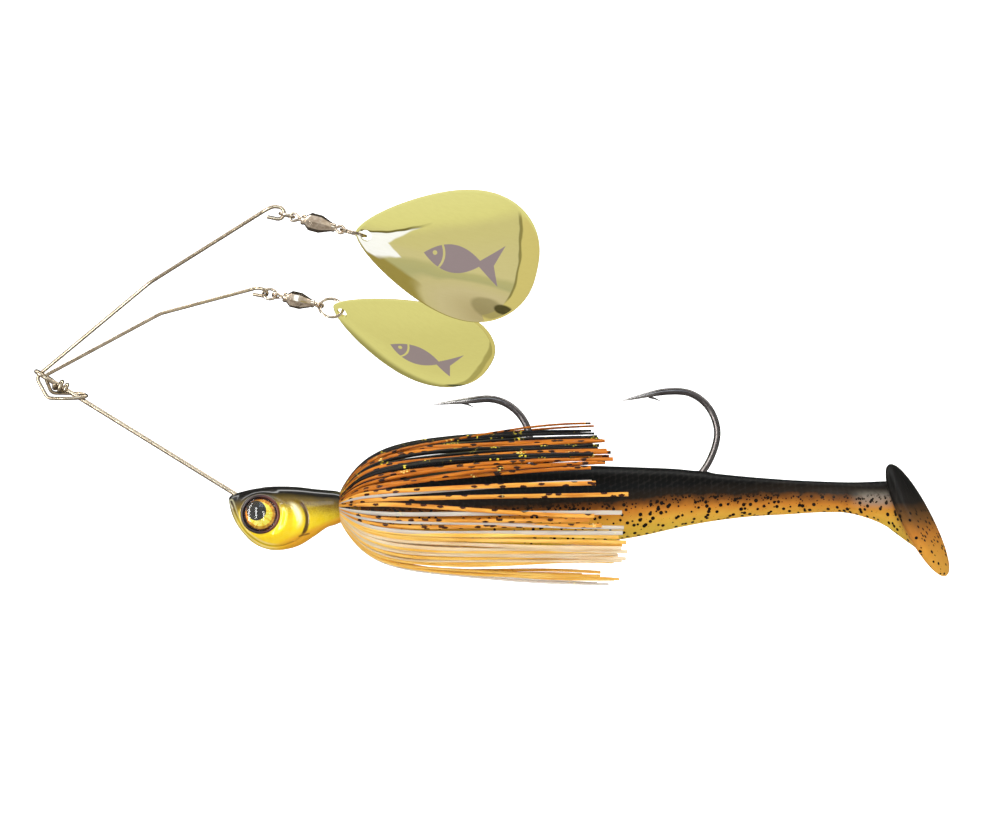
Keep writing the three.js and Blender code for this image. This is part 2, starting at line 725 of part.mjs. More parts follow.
// The room in the front length for the stinger's eye and neck to swing in.
function stingerSlot() {
  const { x, z, loop } = STINGER_PIVOT;
  const room = STINGER_WIRE + 0.3;
  const reach = BAIT_BREAKS[0].radius + 1;
  const halfWidth = 2.6;
  const disc = rod(vec(x, 0, z - room), UP, loop + room, 2 * room, 20);
  const drop = 2.2; // how far the stinger's neck falls within the slot
  const gate = box([x, -halfWidth, z - room - drop], [x + reach, halfWidth, z + room]);
  return { disc, gate };
}

function addBait() {
  const whole = join(baitSkin(), paddleSolid());
  const first = splitBait(whole, BAIT_BREAKS[0]);
  const second = splitBait(first.rear, BAIT_BREAKS[1]);
  const third = splitBait(second.rear, BAIT_BREAKS[2]);
  const hookRoom = roomFor(mainHookPoints, HOOK_WIRE, BAIT_GAP.hook, 8);
  const { keeper } = BAIT_GAP;
  const [keeperStart, keeperEnd] = [60, NECK.end + 0.3];
  const keeperLength = keeperEnd - keeperStart;
  const keeperRoom = rod(vec(keeperStart, 0, SHANK_Z), vec(1, 0, 0), NECK.barb + keeper, keeperLength, 12);
  const stingerRoom = roomFor(stingerPoints, STINGER_WIRE, BAIT_GAP.stinger, 8);
  const { disc, gate } = stingerSlot();
  place(lure, "bait_front", cut(first.front, hookRoom, keeperRoom, disc, gate), SOFT_PLASTIC);
  place(lure, "bait_rear", cut(second.front, stingerRoom), SOFT_PLASTIC);
  place(lure, "bait_tail_stem", third.front, SOFT_PLASTIC);
  place(lure, "bait_paddle", third.rear, SOFT_PLASTIC);
}
addBait();

export default lure;
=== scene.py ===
import json
import math
import random

import bmesh
import bpy
import numpy as np
from mathutils import Matrix

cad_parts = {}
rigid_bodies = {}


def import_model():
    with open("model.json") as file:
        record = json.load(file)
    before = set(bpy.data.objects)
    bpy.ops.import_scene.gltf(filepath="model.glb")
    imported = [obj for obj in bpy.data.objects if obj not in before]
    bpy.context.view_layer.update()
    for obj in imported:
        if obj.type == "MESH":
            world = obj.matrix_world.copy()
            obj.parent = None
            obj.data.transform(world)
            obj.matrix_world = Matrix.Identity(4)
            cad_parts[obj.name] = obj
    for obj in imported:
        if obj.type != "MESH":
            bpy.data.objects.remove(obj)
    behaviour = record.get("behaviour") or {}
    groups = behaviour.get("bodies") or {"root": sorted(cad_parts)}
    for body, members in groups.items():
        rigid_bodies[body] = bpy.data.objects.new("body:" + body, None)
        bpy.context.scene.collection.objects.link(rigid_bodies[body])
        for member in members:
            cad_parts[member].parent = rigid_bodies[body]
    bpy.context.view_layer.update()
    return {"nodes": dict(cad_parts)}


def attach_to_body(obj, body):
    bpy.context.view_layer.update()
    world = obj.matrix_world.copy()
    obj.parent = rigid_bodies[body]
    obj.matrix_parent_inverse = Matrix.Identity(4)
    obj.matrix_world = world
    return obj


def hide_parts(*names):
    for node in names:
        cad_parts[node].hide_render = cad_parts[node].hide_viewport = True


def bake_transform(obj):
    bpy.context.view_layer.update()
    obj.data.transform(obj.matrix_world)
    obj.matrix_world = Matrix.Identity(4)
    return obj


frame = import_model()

# A twin-arm spinnerbait with a soft bait. Lengths are in millimetres, in the frame that the CAD solids share:
# +X from the line tie to the tail, +Z up, and -Y towards the camera. MM turns them into metres.
MM = 0.001
TAU = 2 * math.pi
DEGREES = 57.3  # in a radian

MAIN_WIRE = 0.47
WIRE_SLOPE = math.radians(31.7)
EYE_HALF_WIDTH = 1.45
ARM_WIRE = 0.39
HOOK_WIRE = 0.75
STINGER_WIRE = 0.72
SHANK_Z = -28.6
STINGER_PIVOT = np.array([102.4, 0, -24.2])
EYE = np.array([47.8, 0, -30.1])
EYE_RADIUS = 3.4
SKIRT_START = 64.7
CAMERA_PLACE = np.array([97.77, -500, -8.06])


# ---------- points and curves ----------
def vec(x, y, z):
    return np.array([x, y, z], float)


X, Y, Z = vec(1, 0, 0), vec(0, 1, 0), vec(0, 0, 1)


def unit(v):
    return v / np.linalg.norm(v)


def step(low, high, value):
    share = np.clip((value - low) / (high - low), 0, 1)
    return share * share * (3 - 2 * share)


def arc(centre, a, b, radius, start, stop, steps):
    angles = np.linspace(start, stop, steps + 1)
    return [centre + radius * (math.cos(t) * a + math.sin(t) * b) for t in angles]


def bent_path(points, trim, steps=8):
    """Straight runs with each corner rounded off."""
    path = [points[0]]
    for before, corner, after in zip(points, points[1:], points[2:]):
        enter = corner + unit(before - corner) * min(trim, 0.48 * np.linalg.norm(before - corner))
        leave = corner + unit(after - corner) * min(trim, 0.48 * np.linalg.norm(after - corner))
        for t in np.linspace(0, 1, steps + 1):
            path.append((1 - t) ** 2 * enter + 2 * t * (1 - t) * corner + t * t * leave)
    return path + [points[-1]]


def curve_through(points, steps=10):
    """A centripetal Catmull-Rom curve."""
    points = [2 * points[0] - points[1], *points, 2 * points[-1] - points[-2]]
    path = []
    for a, b, c, d in zip(points, points[1:], points[2:], points[3:]):
        ab, bc, cd = (math.sqrt(np.linalg.norm(q - p)) for p, q in ((a, b), (b, c), (c, d)))
        leave = ((b - a) / ab - (c - a) / (ab + bc) + (c - b) / bc) * bc
        arrive = ((c - b) / bc - (d - b) / (bc + cd) + (d - c) / cd) * bc
        for t in np.linspace(0, 1, steps, endpoint=False):
            path.append(
                (2 * t**3 - 3 * t**2 + 1) * b
                + (t**3 - 2 * t**2 + t) * leave
                + (3 * t**2 - 2 * t**3) * c
                + (t**3 - t**2) * arrive
            )
    return path + [points[-2]]


def evenly(path, spacing):
    """The same path with points at even spacing."""
    path = np.array(path)
    done = np.concatenate([[0], np.cumsum(np.linalg.norm(np.diff(path, axis=0), axis=1))])
    at = np.linspace(0, done[-1], max(2, int(done[-1] / spacing) + 1))
    return np.column_stack([np.interp(at, done, path[:, k]) for k in range(3)])


def path_length(path):
    return np.linalg.norm(np.diff(np.array(path), axis=0), axis=1).sum()


# ---------- meshes ----------
def skin(rings, loop=False):
    """Points and faces over rings of equal counts, with a fan over each end unless the rings loop."""
    sides = len(rings[0])
    points = [p for ring in rings for p in ring]
    faces = []
    last = len(rings) if loop else len(rings) - 1
    for r in range(last):
        s = (r + 1) % len(rings)
        for i in range(sides):
            j = (i + 1) % sides
            faces.append((r * sides + i, r * sides + j, s * sides + j, s * sides + i))
    if not loop:
        for ring, first in ((rings[0], 0), (rings[-1], (len(rings) - 1) * sides)):
            points.append(np.mean(ring, axis=0))
            middle = len(points) - 1
            faces += [(first + i, first + (i + 1) % sides, middle) for i in range(sides)]
    return np.array(points), faces


def add_object(name, data):
    made = bpy.data.objects.new(name, data)
    bpy.context.scene.collection.objects.link(made)
    return made


def make_mesh(name, points, faces, materials, sharp=50, face_material=None):
    data = bpy.data.meshes.new(name)
    data.from_pydata([tuple(p) for p in np.asarray(points) * MM], [], faces)
    if face_material is not None:
        data.polygons.foreach_set("material_index", face_material)
    cleaner = bmesh.new()
    cleaner.from_mesh(data)
    bmesh.ops.recalc_face_normals(cleaner, faces=cleaner.faces)
    cleaner.to_mesh(data)
    cleaner.free()
    data.shade_smooth()
    data.set_sharp_from_angle(angle=math.radians(sharp))
    for material in materials if isinstance(materials, list) else [materials]:
        data.materials.append(material)
    made = add_object(name, data)
    keep_place(made, points)
    return made


def keep_place(made, values, name="place"):
    """Stores a vector per point, in millimetres, that the materials read in any pose."""
    layer = made.data.attributes.new(name, "FLOAT_VECTOR", "POINT")
    layer.data.foreach_set("vector", np.asarray(values, np.float32).ravel())


def keep_value(made, values, name):
    """Stores a number per point for the materials."""
    layer = made.data.attributes.new(name, "FLOAT", "POINT")
    layer.data.foreach_set("value", np.asarray(values, np.float32))


def attach(made, body, slot, *nodes):
    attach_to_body(made, body)
    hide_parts(*nodes)
    return made


def sweep(path, radius, sides=18, loop=False, up=None, flat=1.0):
    """Rings of a bar along a path, and each point's place along and around it. flat squashes it along up."""
    path = np.array(path)
    count = len(path)
    if loop:
        tangents = [unit(path[(i + 1) % count] - path[i - 1]) for i in range(count)]
    else:
        runs = [unit(b - a) for a, b in zip(path, path[1:])]
        tangents = [runs[0]] + [unit(a + b) for a, b in zip(runs, runs[1:])] + [runs[-1]]
    radii = np.full(count, radius) if np.isscalar(radius) else np.asarray(radius)
    normal = Y if abs(tangents[0] @ Y) < 0.9 else Z
    rings, places, along = [], [], 0
    for i, (p, t) in enumerate(zip(path, tangents)):
        if i:
            along += np.linalg.norm(p - path[i - 1])
        lean = normal if up is None else up
        normal = unit(lean - (lean @ t) * t)
        side = np.cross(t, normal)
        angles = TAU * np.arange(sides) / sides
        ring = [p + radii[i] * (flat * math.cos(a) * normal + math.sin(a) * side) for a in angles]
        rings.append(ring)
        places += [(along, radii[i] * math.cos(a), radii[i] * math.sin(a)) for a in angles]
    return rings, places


def bar(name, path, radius, material, spacing=0.25, sides=18, loop=False, up=None, flat=1.0):
    """A solid round bar with bevelled ends."""
    path = np.array(path) if loop else evenly(path, spacing)
    radii = radius
    if not loop:
        bevel, narrowed = 0.3, 0.72
        radii = radius(np.linspace(0, 1, len(path))) if callable(radius) else np.full(len(path), radius)
        first = path[0] + unit(path[1] - path[0]) * bevel * radii[0]
        last = path[-1] + unit(path[-2] - path[-1]) * bevel * radii[-1]
        path = np.vstack([path[0], first, path[1:-1], last, path[-1]])
        radii = np.concatenate([[narrowed * radii[0]], radii, [narrowed * radii[-1]]])
    rings, places = sweep(path, radii, sides, loop, up, flat)
    points, faces = skin(rings, loop)
    made = make_mesh(name, points, faces, material)
    places += [places[0]] * (len(points) - len(places))
    keep_place(made, places, "along")
    return made


def turned(profile, sides, reach=None):
    """Rings of a profile of [distance along X, radius]. reach(angle, ring number) scales each radius."""
    rings = []
    for number, (x, r) in enumerate(profile):
        ring = []
        for a in TAU * np.arange(sides) / sides:
            scale = reach(a, number) if reach else 1
            ring.append(vec(x, r * scale * math.cos(a), r * scale * math.sin(a)))
        rings.append(ring)
    return rings


# ---------- node trees ----------
def srgb(red, green, blue):
    def linear(value):
        value /= 255
        return value / 12.92 if value <= 0.04045 else ((value + 0.055) / 1.055) ** 2.4

    return (linear(red), linear(green), linear(blue), 1)


class Tree:
    """Short ways to add and join shader nodes. Every method gives back an output."""

    def __init__(self, owner):
        owner.use_nodes = True
        self.tree = owner.node_tree
        self.nodes = self.tree.nodes

    def add(self, kind, inputs=(), out=0, **settings):
        made = self.nodes.new(kind)
        for key, value in settings.items():
            setattr(made, key, value)
        for key, value in dict(inputs).items():
            self.set(made, key, value)
        return made.outputs[out]

    def set(self, target, key, value):
        if isinstance(value, bpy.types.NodeSocket):
            self.tree.links.new(value, target.inputs[key])
        else:
            target.inputs[key].default_value = value

    def math(self, operation, a, b=0.0, c=0.0):
        return self.add("ShaderNodeMath", {0: a, 1: b, 2: c}, operation=operation)

    def times(self, a, b):
        return self.math("MULTIPLY", a, b)

    def plus(self, a, b):
        return self.math("ADD", a, b)

    def minus(self, a, b):
        return self.math("SUBTRACT", a, b)

    def absolute(self, a):
        return self.math("ABSOLUTE", a)

    def line(self, value, slope, start):
        """slope times value, plus start."""
        return self.math("MULTIPLY_ADD", value, slope, start)

    def from_middle(self, a, b):
        """How far the point (a, b) is from (0, 0)."""
        return self.math("SQRT", self.plus(self.times(a, a), self.times(b, b)))

    def attribute(self, name):
        return self.add("ShaderNodeAttribute", out="Vector", attribute_name=name)

    def attribute_value(self, name):
        return self.add("ShaderNodeAttribute", out="Fac", attribute_name=name)

    def split(self, vector):
        made = self.nodes.new("ShaderNodeSeparateXYZ")
        self.set(made, 0, vector)
        return made.outputs

    def join(self, x, y, z):
        return self.add("ShaderNodeCombineXYZ", {0: x, 1: y, 2: z})

    def scaled(self, vector, by):
        return self.add("ShaderNodeVectorMath", {0: vector, 1: by}, operation="MULTIPLY")

    def noise(self, vector, scale=1.0, detail=3.0, rough=0.5):
        inputs = {"Vector": vector, "Scale": scale, "Detail": detail, "Roughness": rough}
        return self.add("ShaderNodeTexNoise", inputs)

    def cells(self, vector, scale=1.0, random=1.0, dimensions="3D"):
        inputs = {"Vector": vector, "Scale": scale, "Randomness": random}
        return self.add("ShaderNodeTexVoronoi", inputs, voronoi_dimensions=dimensions)

    def between(self, value, low, high):
        """0 below low, 1 above high, smooth between. low above high turns it round."""
        turned_round = low > high
        ends = {"From Min": min(low, high), "From Max": max(low, high)}
        if turned_round:
            ends.update({"To Min": 1.0, "To Max": 0.0})
        return self.add("ShaderNodeMapRange", {"Value": value, **ends}, interpolation_type="SMOOTHSTEP")

    def share(self, value, low, high):
        """0 at low, 1 at high, straight between."""
        return self.add("ShaderNodeMapRange", {"Value": value, "From Min": low, "From Max": high})

    def curve_of(self, value, points):
        """Straight pieces through (value, result) pairs."""
        result = float(points[0][1])
        for (a, at_a), (b, at_b) in zip(points, points[1:]):
            result = self.line(self.share(value, a, b), float(at_b - at_a), result)
        return result

    def dot(self, a, b):
        made = self.nodes.new("ShaderNodeVectorMath")
        made.operation = "DOT_PRODUCT"
        self.set(made, 0, a)
        self.set(made, 1, b)
        return made.outputs["Value"]

    def product(self, *factors):
        result = factors[0]
        for factor in factors[1:]:
            result = self.times(result, factor)
        return result

    def near(self, value, middle, inner, outer):
        """1 within inner of the middle, 0 beyond outer."""
        return self.between(self.absolute(self.minus(value, middle)), outer, inner)

    def mirrored(self, normal):
        """The direction that the eye sees reflected."""
        look = self.scaled(self.add("ShaderNodeNewGeometry", out="Incoming"), (-1, -1, -1))
        return self.add("ShaderNodeVectorMath", {0: look, 1: normal}, operation="REFLECT")

    def turn_and_rise(self, direction):
        """Degrees round from straight behind the camera, to its right, and degrees above the horizon."""
        x, y, z = self.split(direction)
        turn = self.times(self.math("ARCTAN2", x, self.times(y, -1.0)), DEGREES)
        return turn, self.times(self.math("ARCSINE", z), DEGREES)

    def ramp(self, value, stops):
        """stops are rows of place, red, green and blue."""
        made = self.nodes.new("ShaderNodeValToRGB")
        self.set(made, 0, value)
        line = made.color_ramp.elements
        for end, (place, *colour) in ((0, stops[0]), (1, stops[-1])):
            line[end].position, line[end].color = place, srgb(*colour)
        for place, *colour in stops[1:-1]:
            line.new(place).color = srgb(*colour)
        return made.outputs[0]

    def mix(self, factor, a, b, blend="MIX"):
        made = self.nodes.new("ShaderNodeMix")
        made.data_type = "RGBA"
        made.blend_type = blend
        for key, value in ((0, factor), (6, a), (7, b)):
            self.set(made, key, value)
        return made.outputs[2]

    def bump(self, height, strength, distance):
        """distance is in millimetres."""
        return self.add("ShaderNodeBump", {"Height": height, "Strength": strength, "Distance": distance * MM})

    def finish(self, **settings):
        target = self.nodes["Principled BSDF"]
        for key, value in settings.items():
            self.set(target, key.replace("_", " "), value)
        return target

    def surface_of(self, share, first, second):
        """Makes the surface a mix of two shaders, with that share of the second."""
        both = self.add("ShaderNodeMixShader", {0: share, 1: first, 2: second})
        self.set(self.nodes["Material Output"], "Surface", both)


def new_material(name):
    material = bpy.data.materials.new(name)
    return material, Tree(material)


# ---------- materials ----------
def metal_wire(name, bright, dark, roughness, scratch=0.12):
    """Drawn wire: fine lengthwise scratches and a slightly uneven tone."""
    material, t = new_material(name)
    along = t.attribute("along")
    lines = t.noise(t.scaled(along, (0.35, 9, 9)), 1, 4, 0.7)
    blotch = t.noise(t.scaled(along, (0.5, 0.8, 0.8)), 1, 3)
    tone = t.between(t.plus(t.times(lines, 0.6), t.times(blotch, 0.4)), 0.3, 0.7)
    t.finish(
        Base_Color=t.mix(tone, dark, bright),
        Metallic=1.0,
        Roughness=t.line(lines, 0.16, roughness - 0.08),
        Normal=t.bump(lines, scratch, 0.012),
    )
    return material


def plated_metal(name, bright, dark, roughness):
    """Nickel plate on small parts, with slow changes of tone and fine wear."""
    material, t = new_material(name)
    place = t.attribute("place")
    cloud = t.noise(place, 0.9, 2, 0.4)
    wear = t.noise(place, 7.0, 3, 0.6)
    t.finish(
        Base_Color=t.mix(t.between(cloud, 0.3, 0.7), dark, bright),
        Metallic=1.0,
        Roughness=t.line(wear, 0.12, roughness - 0.06),
        Normal=t.bump(wear, 0.04, 0.006),
    )
    return material


def fish_mark(t, along, across):
    """1 inside a small fish: a pointed oval body and a forked tail, with a gill line and an eye left open."""
    middle, half_length, half_height = 20.5, 6.0, 2.9
    u = t.minus(along, middle)
    wide = t.absolute(across)
    share = t.math("DIVIDE", u, half_length)
    height = t.times(t.minus(1.0, t.times(share, share)), half_height)
    body = t.math("GREATER_THAN", t.minus(height, wide), 0.0)
    back = t.minus(u, 4.6)
    fork = t.minus(3.6, t.times(wide, -0.35))
    fins = t.math("GREATER_THAN", t.times(back, 0.85), wide)
    tail = t.times(fins, t.math("LESS_THAN", back, fork))
    eye_x = t.plus(u, 3.8)
    eye_z = t.minus(across, 0.5)
    eye = t.plus(t.times(eye_x, eye_x), t.times(eye_z, eye_z))
    curved = t.plus(u, t.times(t.times(across, across), 0.12))
    gill = t.absolute(t.minus(curved, -1.9))
    shape = t.times(t.math("MAXIMUM", body, tail), t.math("GREATER_THAN", eye, 0.22))
    return t.times(shape, t.math("GREATER_THAN", gill, 0.24))


def facing(t, direction, turn, rise, wide, soft):
    """1 within wide degrees of the direction that turn and rise give, fading out over soft degrees more."""
    turn, rise = math.radians(turn), math.radians(rise)
    aim = (math.sin(turn) * math.cos(rise), -math.cos(turn) * math.cos(rise), math.sin(rise))
    angle = t.times(t.math("ARCCOSINE", t.dot(direction, aim)), DEGREES)
    return t.between(angle, wide + soft, wide)


def upper_reflection(t, direction, colour):
    """The painted reflection that the upper blade shows over colour: a dim room, a white window, thin seams
    and dark spots.
    """
    turn, rise = t.turn_and_rise(direction)
    aside = t.minus(turn, t.line(rise, -0.33, 33.0))
    inside = t.between(aside, 1.0, -1.0)
    room = t.product(t.between(rise, 13.0, -4.0), inside)
    tone = t.ramp(
        t.share(rise, -85.0, -10.0),
        [
            (0.0, 178, 162, 118), (0.25, 198, 184, 138), (0.36, 196, 184, 130), (0.4, 172, 168, 116),
            (0.47, 178, 172, 116), (0.52, 202, 191, 134), (1.0, 200, 190, 124),
        ],
    )
    colour = t.mix(room, colour, tone)
    rim = t.product(t.between(aside, -1.0, 1.0), t.between(rise, 6.0, -6.0))
    colour = t.mix(rim, colour, srgb(206, 190, 112))
    left = t.product(
        t.between(turn, -78.0, -86.0),
        t.between(rise, -20.0, -40.0),
        t.between(rise, -60.0, -56.0),
    )
    colour = t.mix(left, colour, srgb(146, 128, 60))
    above = t.minus(rise, t.line(turn, 0.4, 17.0))
    beside = t.minus(turn, t.line(rise, 0.62, -30.0))
    window = t.product(
        t.between(beside, 1.0, -1.0),
        t.between(above, 0.5, -0.5),
        t.between(rise, -49.0, -47.0),
        t.between(turn, -90.0, -86.0),
    )
    colour = t.mix(window, colour, srgb(255, 255, 250))
    seam = t.product(
        t.near(above, 0.6, 0.8, 1.9),
        t.between(turn, -22.0, -30.0),
        t.between(turn, -75.0, -60.0),
    )
    edge = t.product(t.near(aside, 0.0, 0.5, 1.5), t.between(rise, 8.0, -2.0), t.between(rise, -70.0, -60.0))
    colour = t.mix(t.math("MAXIMUM", seam, t.times(edge, 0.75)), colour, srgb(84, 74, 28))
    patch = t.product(facing(t, direction, 35.0, -80.0, 9.0, 4.0), 0.6)
    colour = t.mix(patch, colour, srgb(120, 108, 72))
    return t.mix(facing(t, direction, 64.0, -73.0, 4.0, 2.0), colour, srgb(34, 24, 16))


def lower_reflection(t, direction, colour):
    """The painted reflection that the lower blade shows over colour: two even tones, a thin seam between them
    and a dark spot.
    """
    _, rise = t.turn_and_rise(direction)
    colour = t.mix(t.between(rise, -34.0, -68.0), colour, srgb(210, 202, 122))
    beyond = t.dot(direction, (0.879, 0.253, 0.405))
    colour = t.mix(t.between(beyond, 0.0, 0.03), colour, srgb(203, 189, 108))
    seam = t.product(t.near(beyond, 0.0, 0.012, 0.03), t.between(rise, -20.0, -30.0), 0.6)
    colour = t.mix(seam, colour, srgb(120, 106, 40))
    return t.mix(facing(t, direction, 178.0, -30.0, 3.0, 2.0), colour, srgb(30, 50, 46))


def blade_gold(name, reflection):
    """Pale gold plate with very slight waves from the press, and a fish printed on its dome side.

    Most of its look is a painted reflection, a glowing picture that reflection draws by direction, over a
    little matte gold.
    """
    painted_reflection_share = 0.92
    material, t = new_material(name)
    place = t.attribute("plate")
    waves = t.noise(place, 0.11, 2, 0.4)
    fine = t.noise(t.scaled(place, (0.5, 3, 3)), 1, 3, 0.6)
    along, side, across = t.split(place)
    normal = t.bump(waves, 0.2, 0.5)
    direction = t.mirrored(normal)
    turn, rise = t.turn_and_rise(direction)
    tent = t.mix(t.between(rise, -5.0, 60.0), srgb(217, 210, 128), srgb(228, 223, 144))
    flags = t.product(t.between(t.absolute(turn), 125.0, 150.0), t.near(rise, 5.0, 25.0, 40.0))
    seen = t.mix(t.times(flags, 0.7), reflection(t, direction, tent), srgb(92, 82, 34))
    seen = t.mix(t.times(t.between(fine, 0.35, 0.7), 0.06), seen, srgb(160, 146, 70))
    printed = t.product(fish_mark(t, along, across), t.between(side, 0.5, 0.45))
    seen = t.mix(t.times(printed, 0.9), seen, srgb(143, 127, 134))
    plate = t.finish(
        Base_Color=t.mix(printed, srgb(222, 215, 126), srgb(150, 133, 140)),
        Roughness=0.5,
        Specular_IOR_Level=0.0,
        Normal=normal,
    )
    # The painted reflection glows, in place of the light that the plate would mirror.
    painted_reflection_glow = t.add("ShaderNodeEmission", {"Color": seen, "Strength": 1.0})
    t.surface_of(painted_reflection_share, plate.outputs[0], painted_reflection_glow)
    return material


def hook_metal(name, tip, heel):
    """Black nickel, ground bright near the point. tip and heel are places along the wire."""
    material, t = new_material(name)
    along = t.attribute("along")
    distance = t.split(along)[0]
    lines = t.noise(t.scaled(along, (0.6, 5, 5)), 1, 4, 0.65)
    ground = t.between(t.line(lines, 1.6, distance), heel, tip)
    plate = t.mix(t.between(lines, 0.35, 0.65), srgb(82, 78, 78), srgb(116, 110, 107))
    t.finish(
        Base_Color=t.mix(ground, plate, srgb(176, 173, 170)),
        Metallic=1.0,
        Roughness=t.line(lines, 0.1, 0.14),
        Normal=t.bump(lines, 0.05, 0.01),
    )
    return material


def head_paint():
    """Black crown, olive and gold flanks, yellow cheeks, orange under the rear and painted highlights on the
    gill plate and lip, all under a clear coat.
    """
    material, t = new_material("head_paint")
    place = t.attribute("place")
    x, _, z = t.split(place)
    groove, painted_highlight, _ = t.split(t.attribute("relief"))
    grain = t.noise(t.scaled(place, (3.2, 3.2, 5.5)), 1, 3, 0.6)
    soft = t.noise(t.scaled(place, (0.45, 0.45, 0.45)), 1, 2, 0.5)
    wander = t.plus(t.line(grain, 0.5, -0.25), t.line(soft, 0.7, -0.35))
    below = t.plus(t.minus(t.attribute_value("crown"), z), wander)
    flank = t.ramp(
        t.math("DIVIDE", below, 13.0),
        [
            (0.0, 14, 14, 13), (0.1, 20, 18, 14), (0.15, 74, 60, 20), (0.25, 116, 88, 10),
            (0.36, 192, 160, 2), (0.47, 240, 206, 0), (0.65, 252, 216, 0), (1.0, 252, 204, 10),
        ],
    )
    painted = t.between(below, 1.8, 5.5)
    flank = t.mix(t.product(t.between(grain, 0.42, 0.6), painted, 0.22), flank, srgb(255, 226, 60))
    glow = t.product(t.between(t.cells(place, 0.8), 0.2, 0.75), painted, 0.14)
    flank = t.mix(glow, flank, srgb(255, 236, 90))
    rise = t.line(t.minus(x, 50.0), 0.42, -37.6)
    chin = t.times(t.between(t.minus(z, rise), 1.5, 0.2), t.between(x, 48.5, 55.0))
    flank = t.mix(t.times(chin, 0.75), flank, srgb(236, 156, 40))
    # A painted highlight: pale strokes inside the gill plate's edge and along the lip ridge.
    flank = t.mix(t.times(painted_highlight, 0.9), flank, srgb(255, 248, 200))
    lines = t.between(groove, 0.15, 0.7)
    t.finish(
        Base_Color=t.mix(t.times(lines, 0.9), flank, srgb(72, 38, 6)),
        Metallic=t.times(painted, 0.25),
        Roughness=0.32,
        Specular_IOR_Level=0.15,
        Coat_Weight=0.75,
        Coat_Roughness=0.04,
        Normal=t.bump(grain, 0.1, 0.05),
    )
    return material


def eye_foil():
    """Printed foil: an off-centre black pupil, a streaked gold iris, an orange-red ring, a dark rim, and a
    faint painted glow on the iris.
    """
    material, t = new_material("eye_foil")
    x, _, z = t.split(t.attribute("place"))
    dx, dz = t.minus(x, float(EYE[0])), t.minus(z, float(EYE[2]))
    radius = t.from_middle(dx, dz)
    pupil = t.from_middle(t.plus(dx, 0.85), t.minus(dz, 0.75))
    turn = t.math("ARCTAN2", dz, dx)
    streaks = t.noise(t.join(t.times(turn, 3.0), t.times(radius, 0.35), 0.0), 1.4, 3, 0.6)
    iris = t.mix(t.between(streaks, 0.35, 0.6), srgb(244, 206, 14), srgb(255, 252, 100))
    ring = t.mix(t.between(streaks, 0.4, 0.6), srgb(176, 62, 6), srgb(230, 120, 16))
    colour = t.mix(t.between(radius, 2.44, 2.62), iris, ring)
    colour = t.mix(t.between(radius, 3.14, 3.28), colour, srgb(84, 22, 8))
    colour = t.mix(t.between(pupil, 2.12, 2.0), colour, srgb(10, 9, 10))
    # The iris glows faintly, a painted stand-in for light off the foil.
    painted_iris_glow = t.product(t.between(pupil, 2.0, 2.12), t.between(radius, 3.1, 3.0))
    t.finish(
        Base_Color=colour,
        Metallic=t.times(t.between(pupil, 1.9, 2.2), 0.3),
        Roughness=0.3,
        Specular_IOR_Level=0.2,
        Emission_Color=iris,
        Emission_Strength=t.times(painted_iris_glow, 0.3),
    )
    return material


def clear_dome():
    """Clear resin that shows what is under it, with sharp reflections on its surface."""
    material, t = new_material("clear_dome")
    glass = t.add("ShaderNodeBsdfTransparent", {"Color": (0.98, 0.97, 0.94, 1)})
    shine = t.add("ShaderNodeBsdfGlossy", {"Color": (1, 1, 1, 1), "Roughness": 0.02})
    edge_on = t.add("ShaderNodeFresnel", {"IOR": 1.5})
    t.surface_of(edge_on, glass, shine)
    return material


def strand_rubber(name, plain, deep, fleck=None, fleck_size=0.0, clear=0.0, glitter=None, bunched=0.6):
    """Soft silicone. fleck is the colour of blotches across it, and clear the share of light let through.

    glitter is the colour of small points that lie in bunches. The higher bunched is, the fewer there are.
    """
    material, t = new_material(name)
    spot = t.attribute("strand")
    along, across, number = t.split(spot)
    tone = t.noise(t.join(t.times(along, 0.12), across, number), 1, 2)
    colour = t.mix(t.between(tone, 0.3, 0.7), deep, plain)
    edge = t.between(t.absolute(across), 0.25, 0.5)
    colour = t.mix(t.times(edge, 0.35), colour, deep)
    if fleck:
        far = t.line(along, 0.3, t.times(number, 17.3))
        where = t.join(far, t.times(across, 0.7), 0.0)
        wander = t.noise(t.scaled(spot, (2.2, 3, 1)), 1, 3)
        distance = t.line(wander, 0.25, t.cells(where, 1.0, 1.0, "2D"))
        spots = t.between(distance, fleck_size + 0.05, fleck_size)
        colour = t.mix(spots, colour, fleck)
    if glitter:
        far = t.line(along, 1.5, t.times(number, 13.7))
        dots = t.cells(t.join(far, t.times(across, 2.0), 0.0), 1.0, 1.0, "2D")
        points = t.between(dots, 0.34, 0.28)
        crowd = t.noise(t.join(t.times(along, 0.2), 0.0, number), 1, 1)
        bunch = t.between(crowd, bunched, bunched + 0.05)
        colour = t.mix(t.times(points, bunch), colour, glitter)
    surface = t.finish(
        Base_Color=colour,
        Roughness=0.3,
        Subsurface_Weight=0.12,
        Subsurface_Radius=(1.0, 0.6, 0.3),
        Subsurface_Scale=0.0005,
        Specular_IOR_Level=0.16,
        Normal=t.bump(t.noise(t.scaled(spot, (0.5, 4, 1)), 1, 2), 0.15, 0.1),
    )
    if clear:
        through = t.add("ShaderNodeBsdfTransparent", {"Color": (1, 0.98, 0.95, 1)})
        t.surface_of(clear, surface.outputs[0], through)
    return material


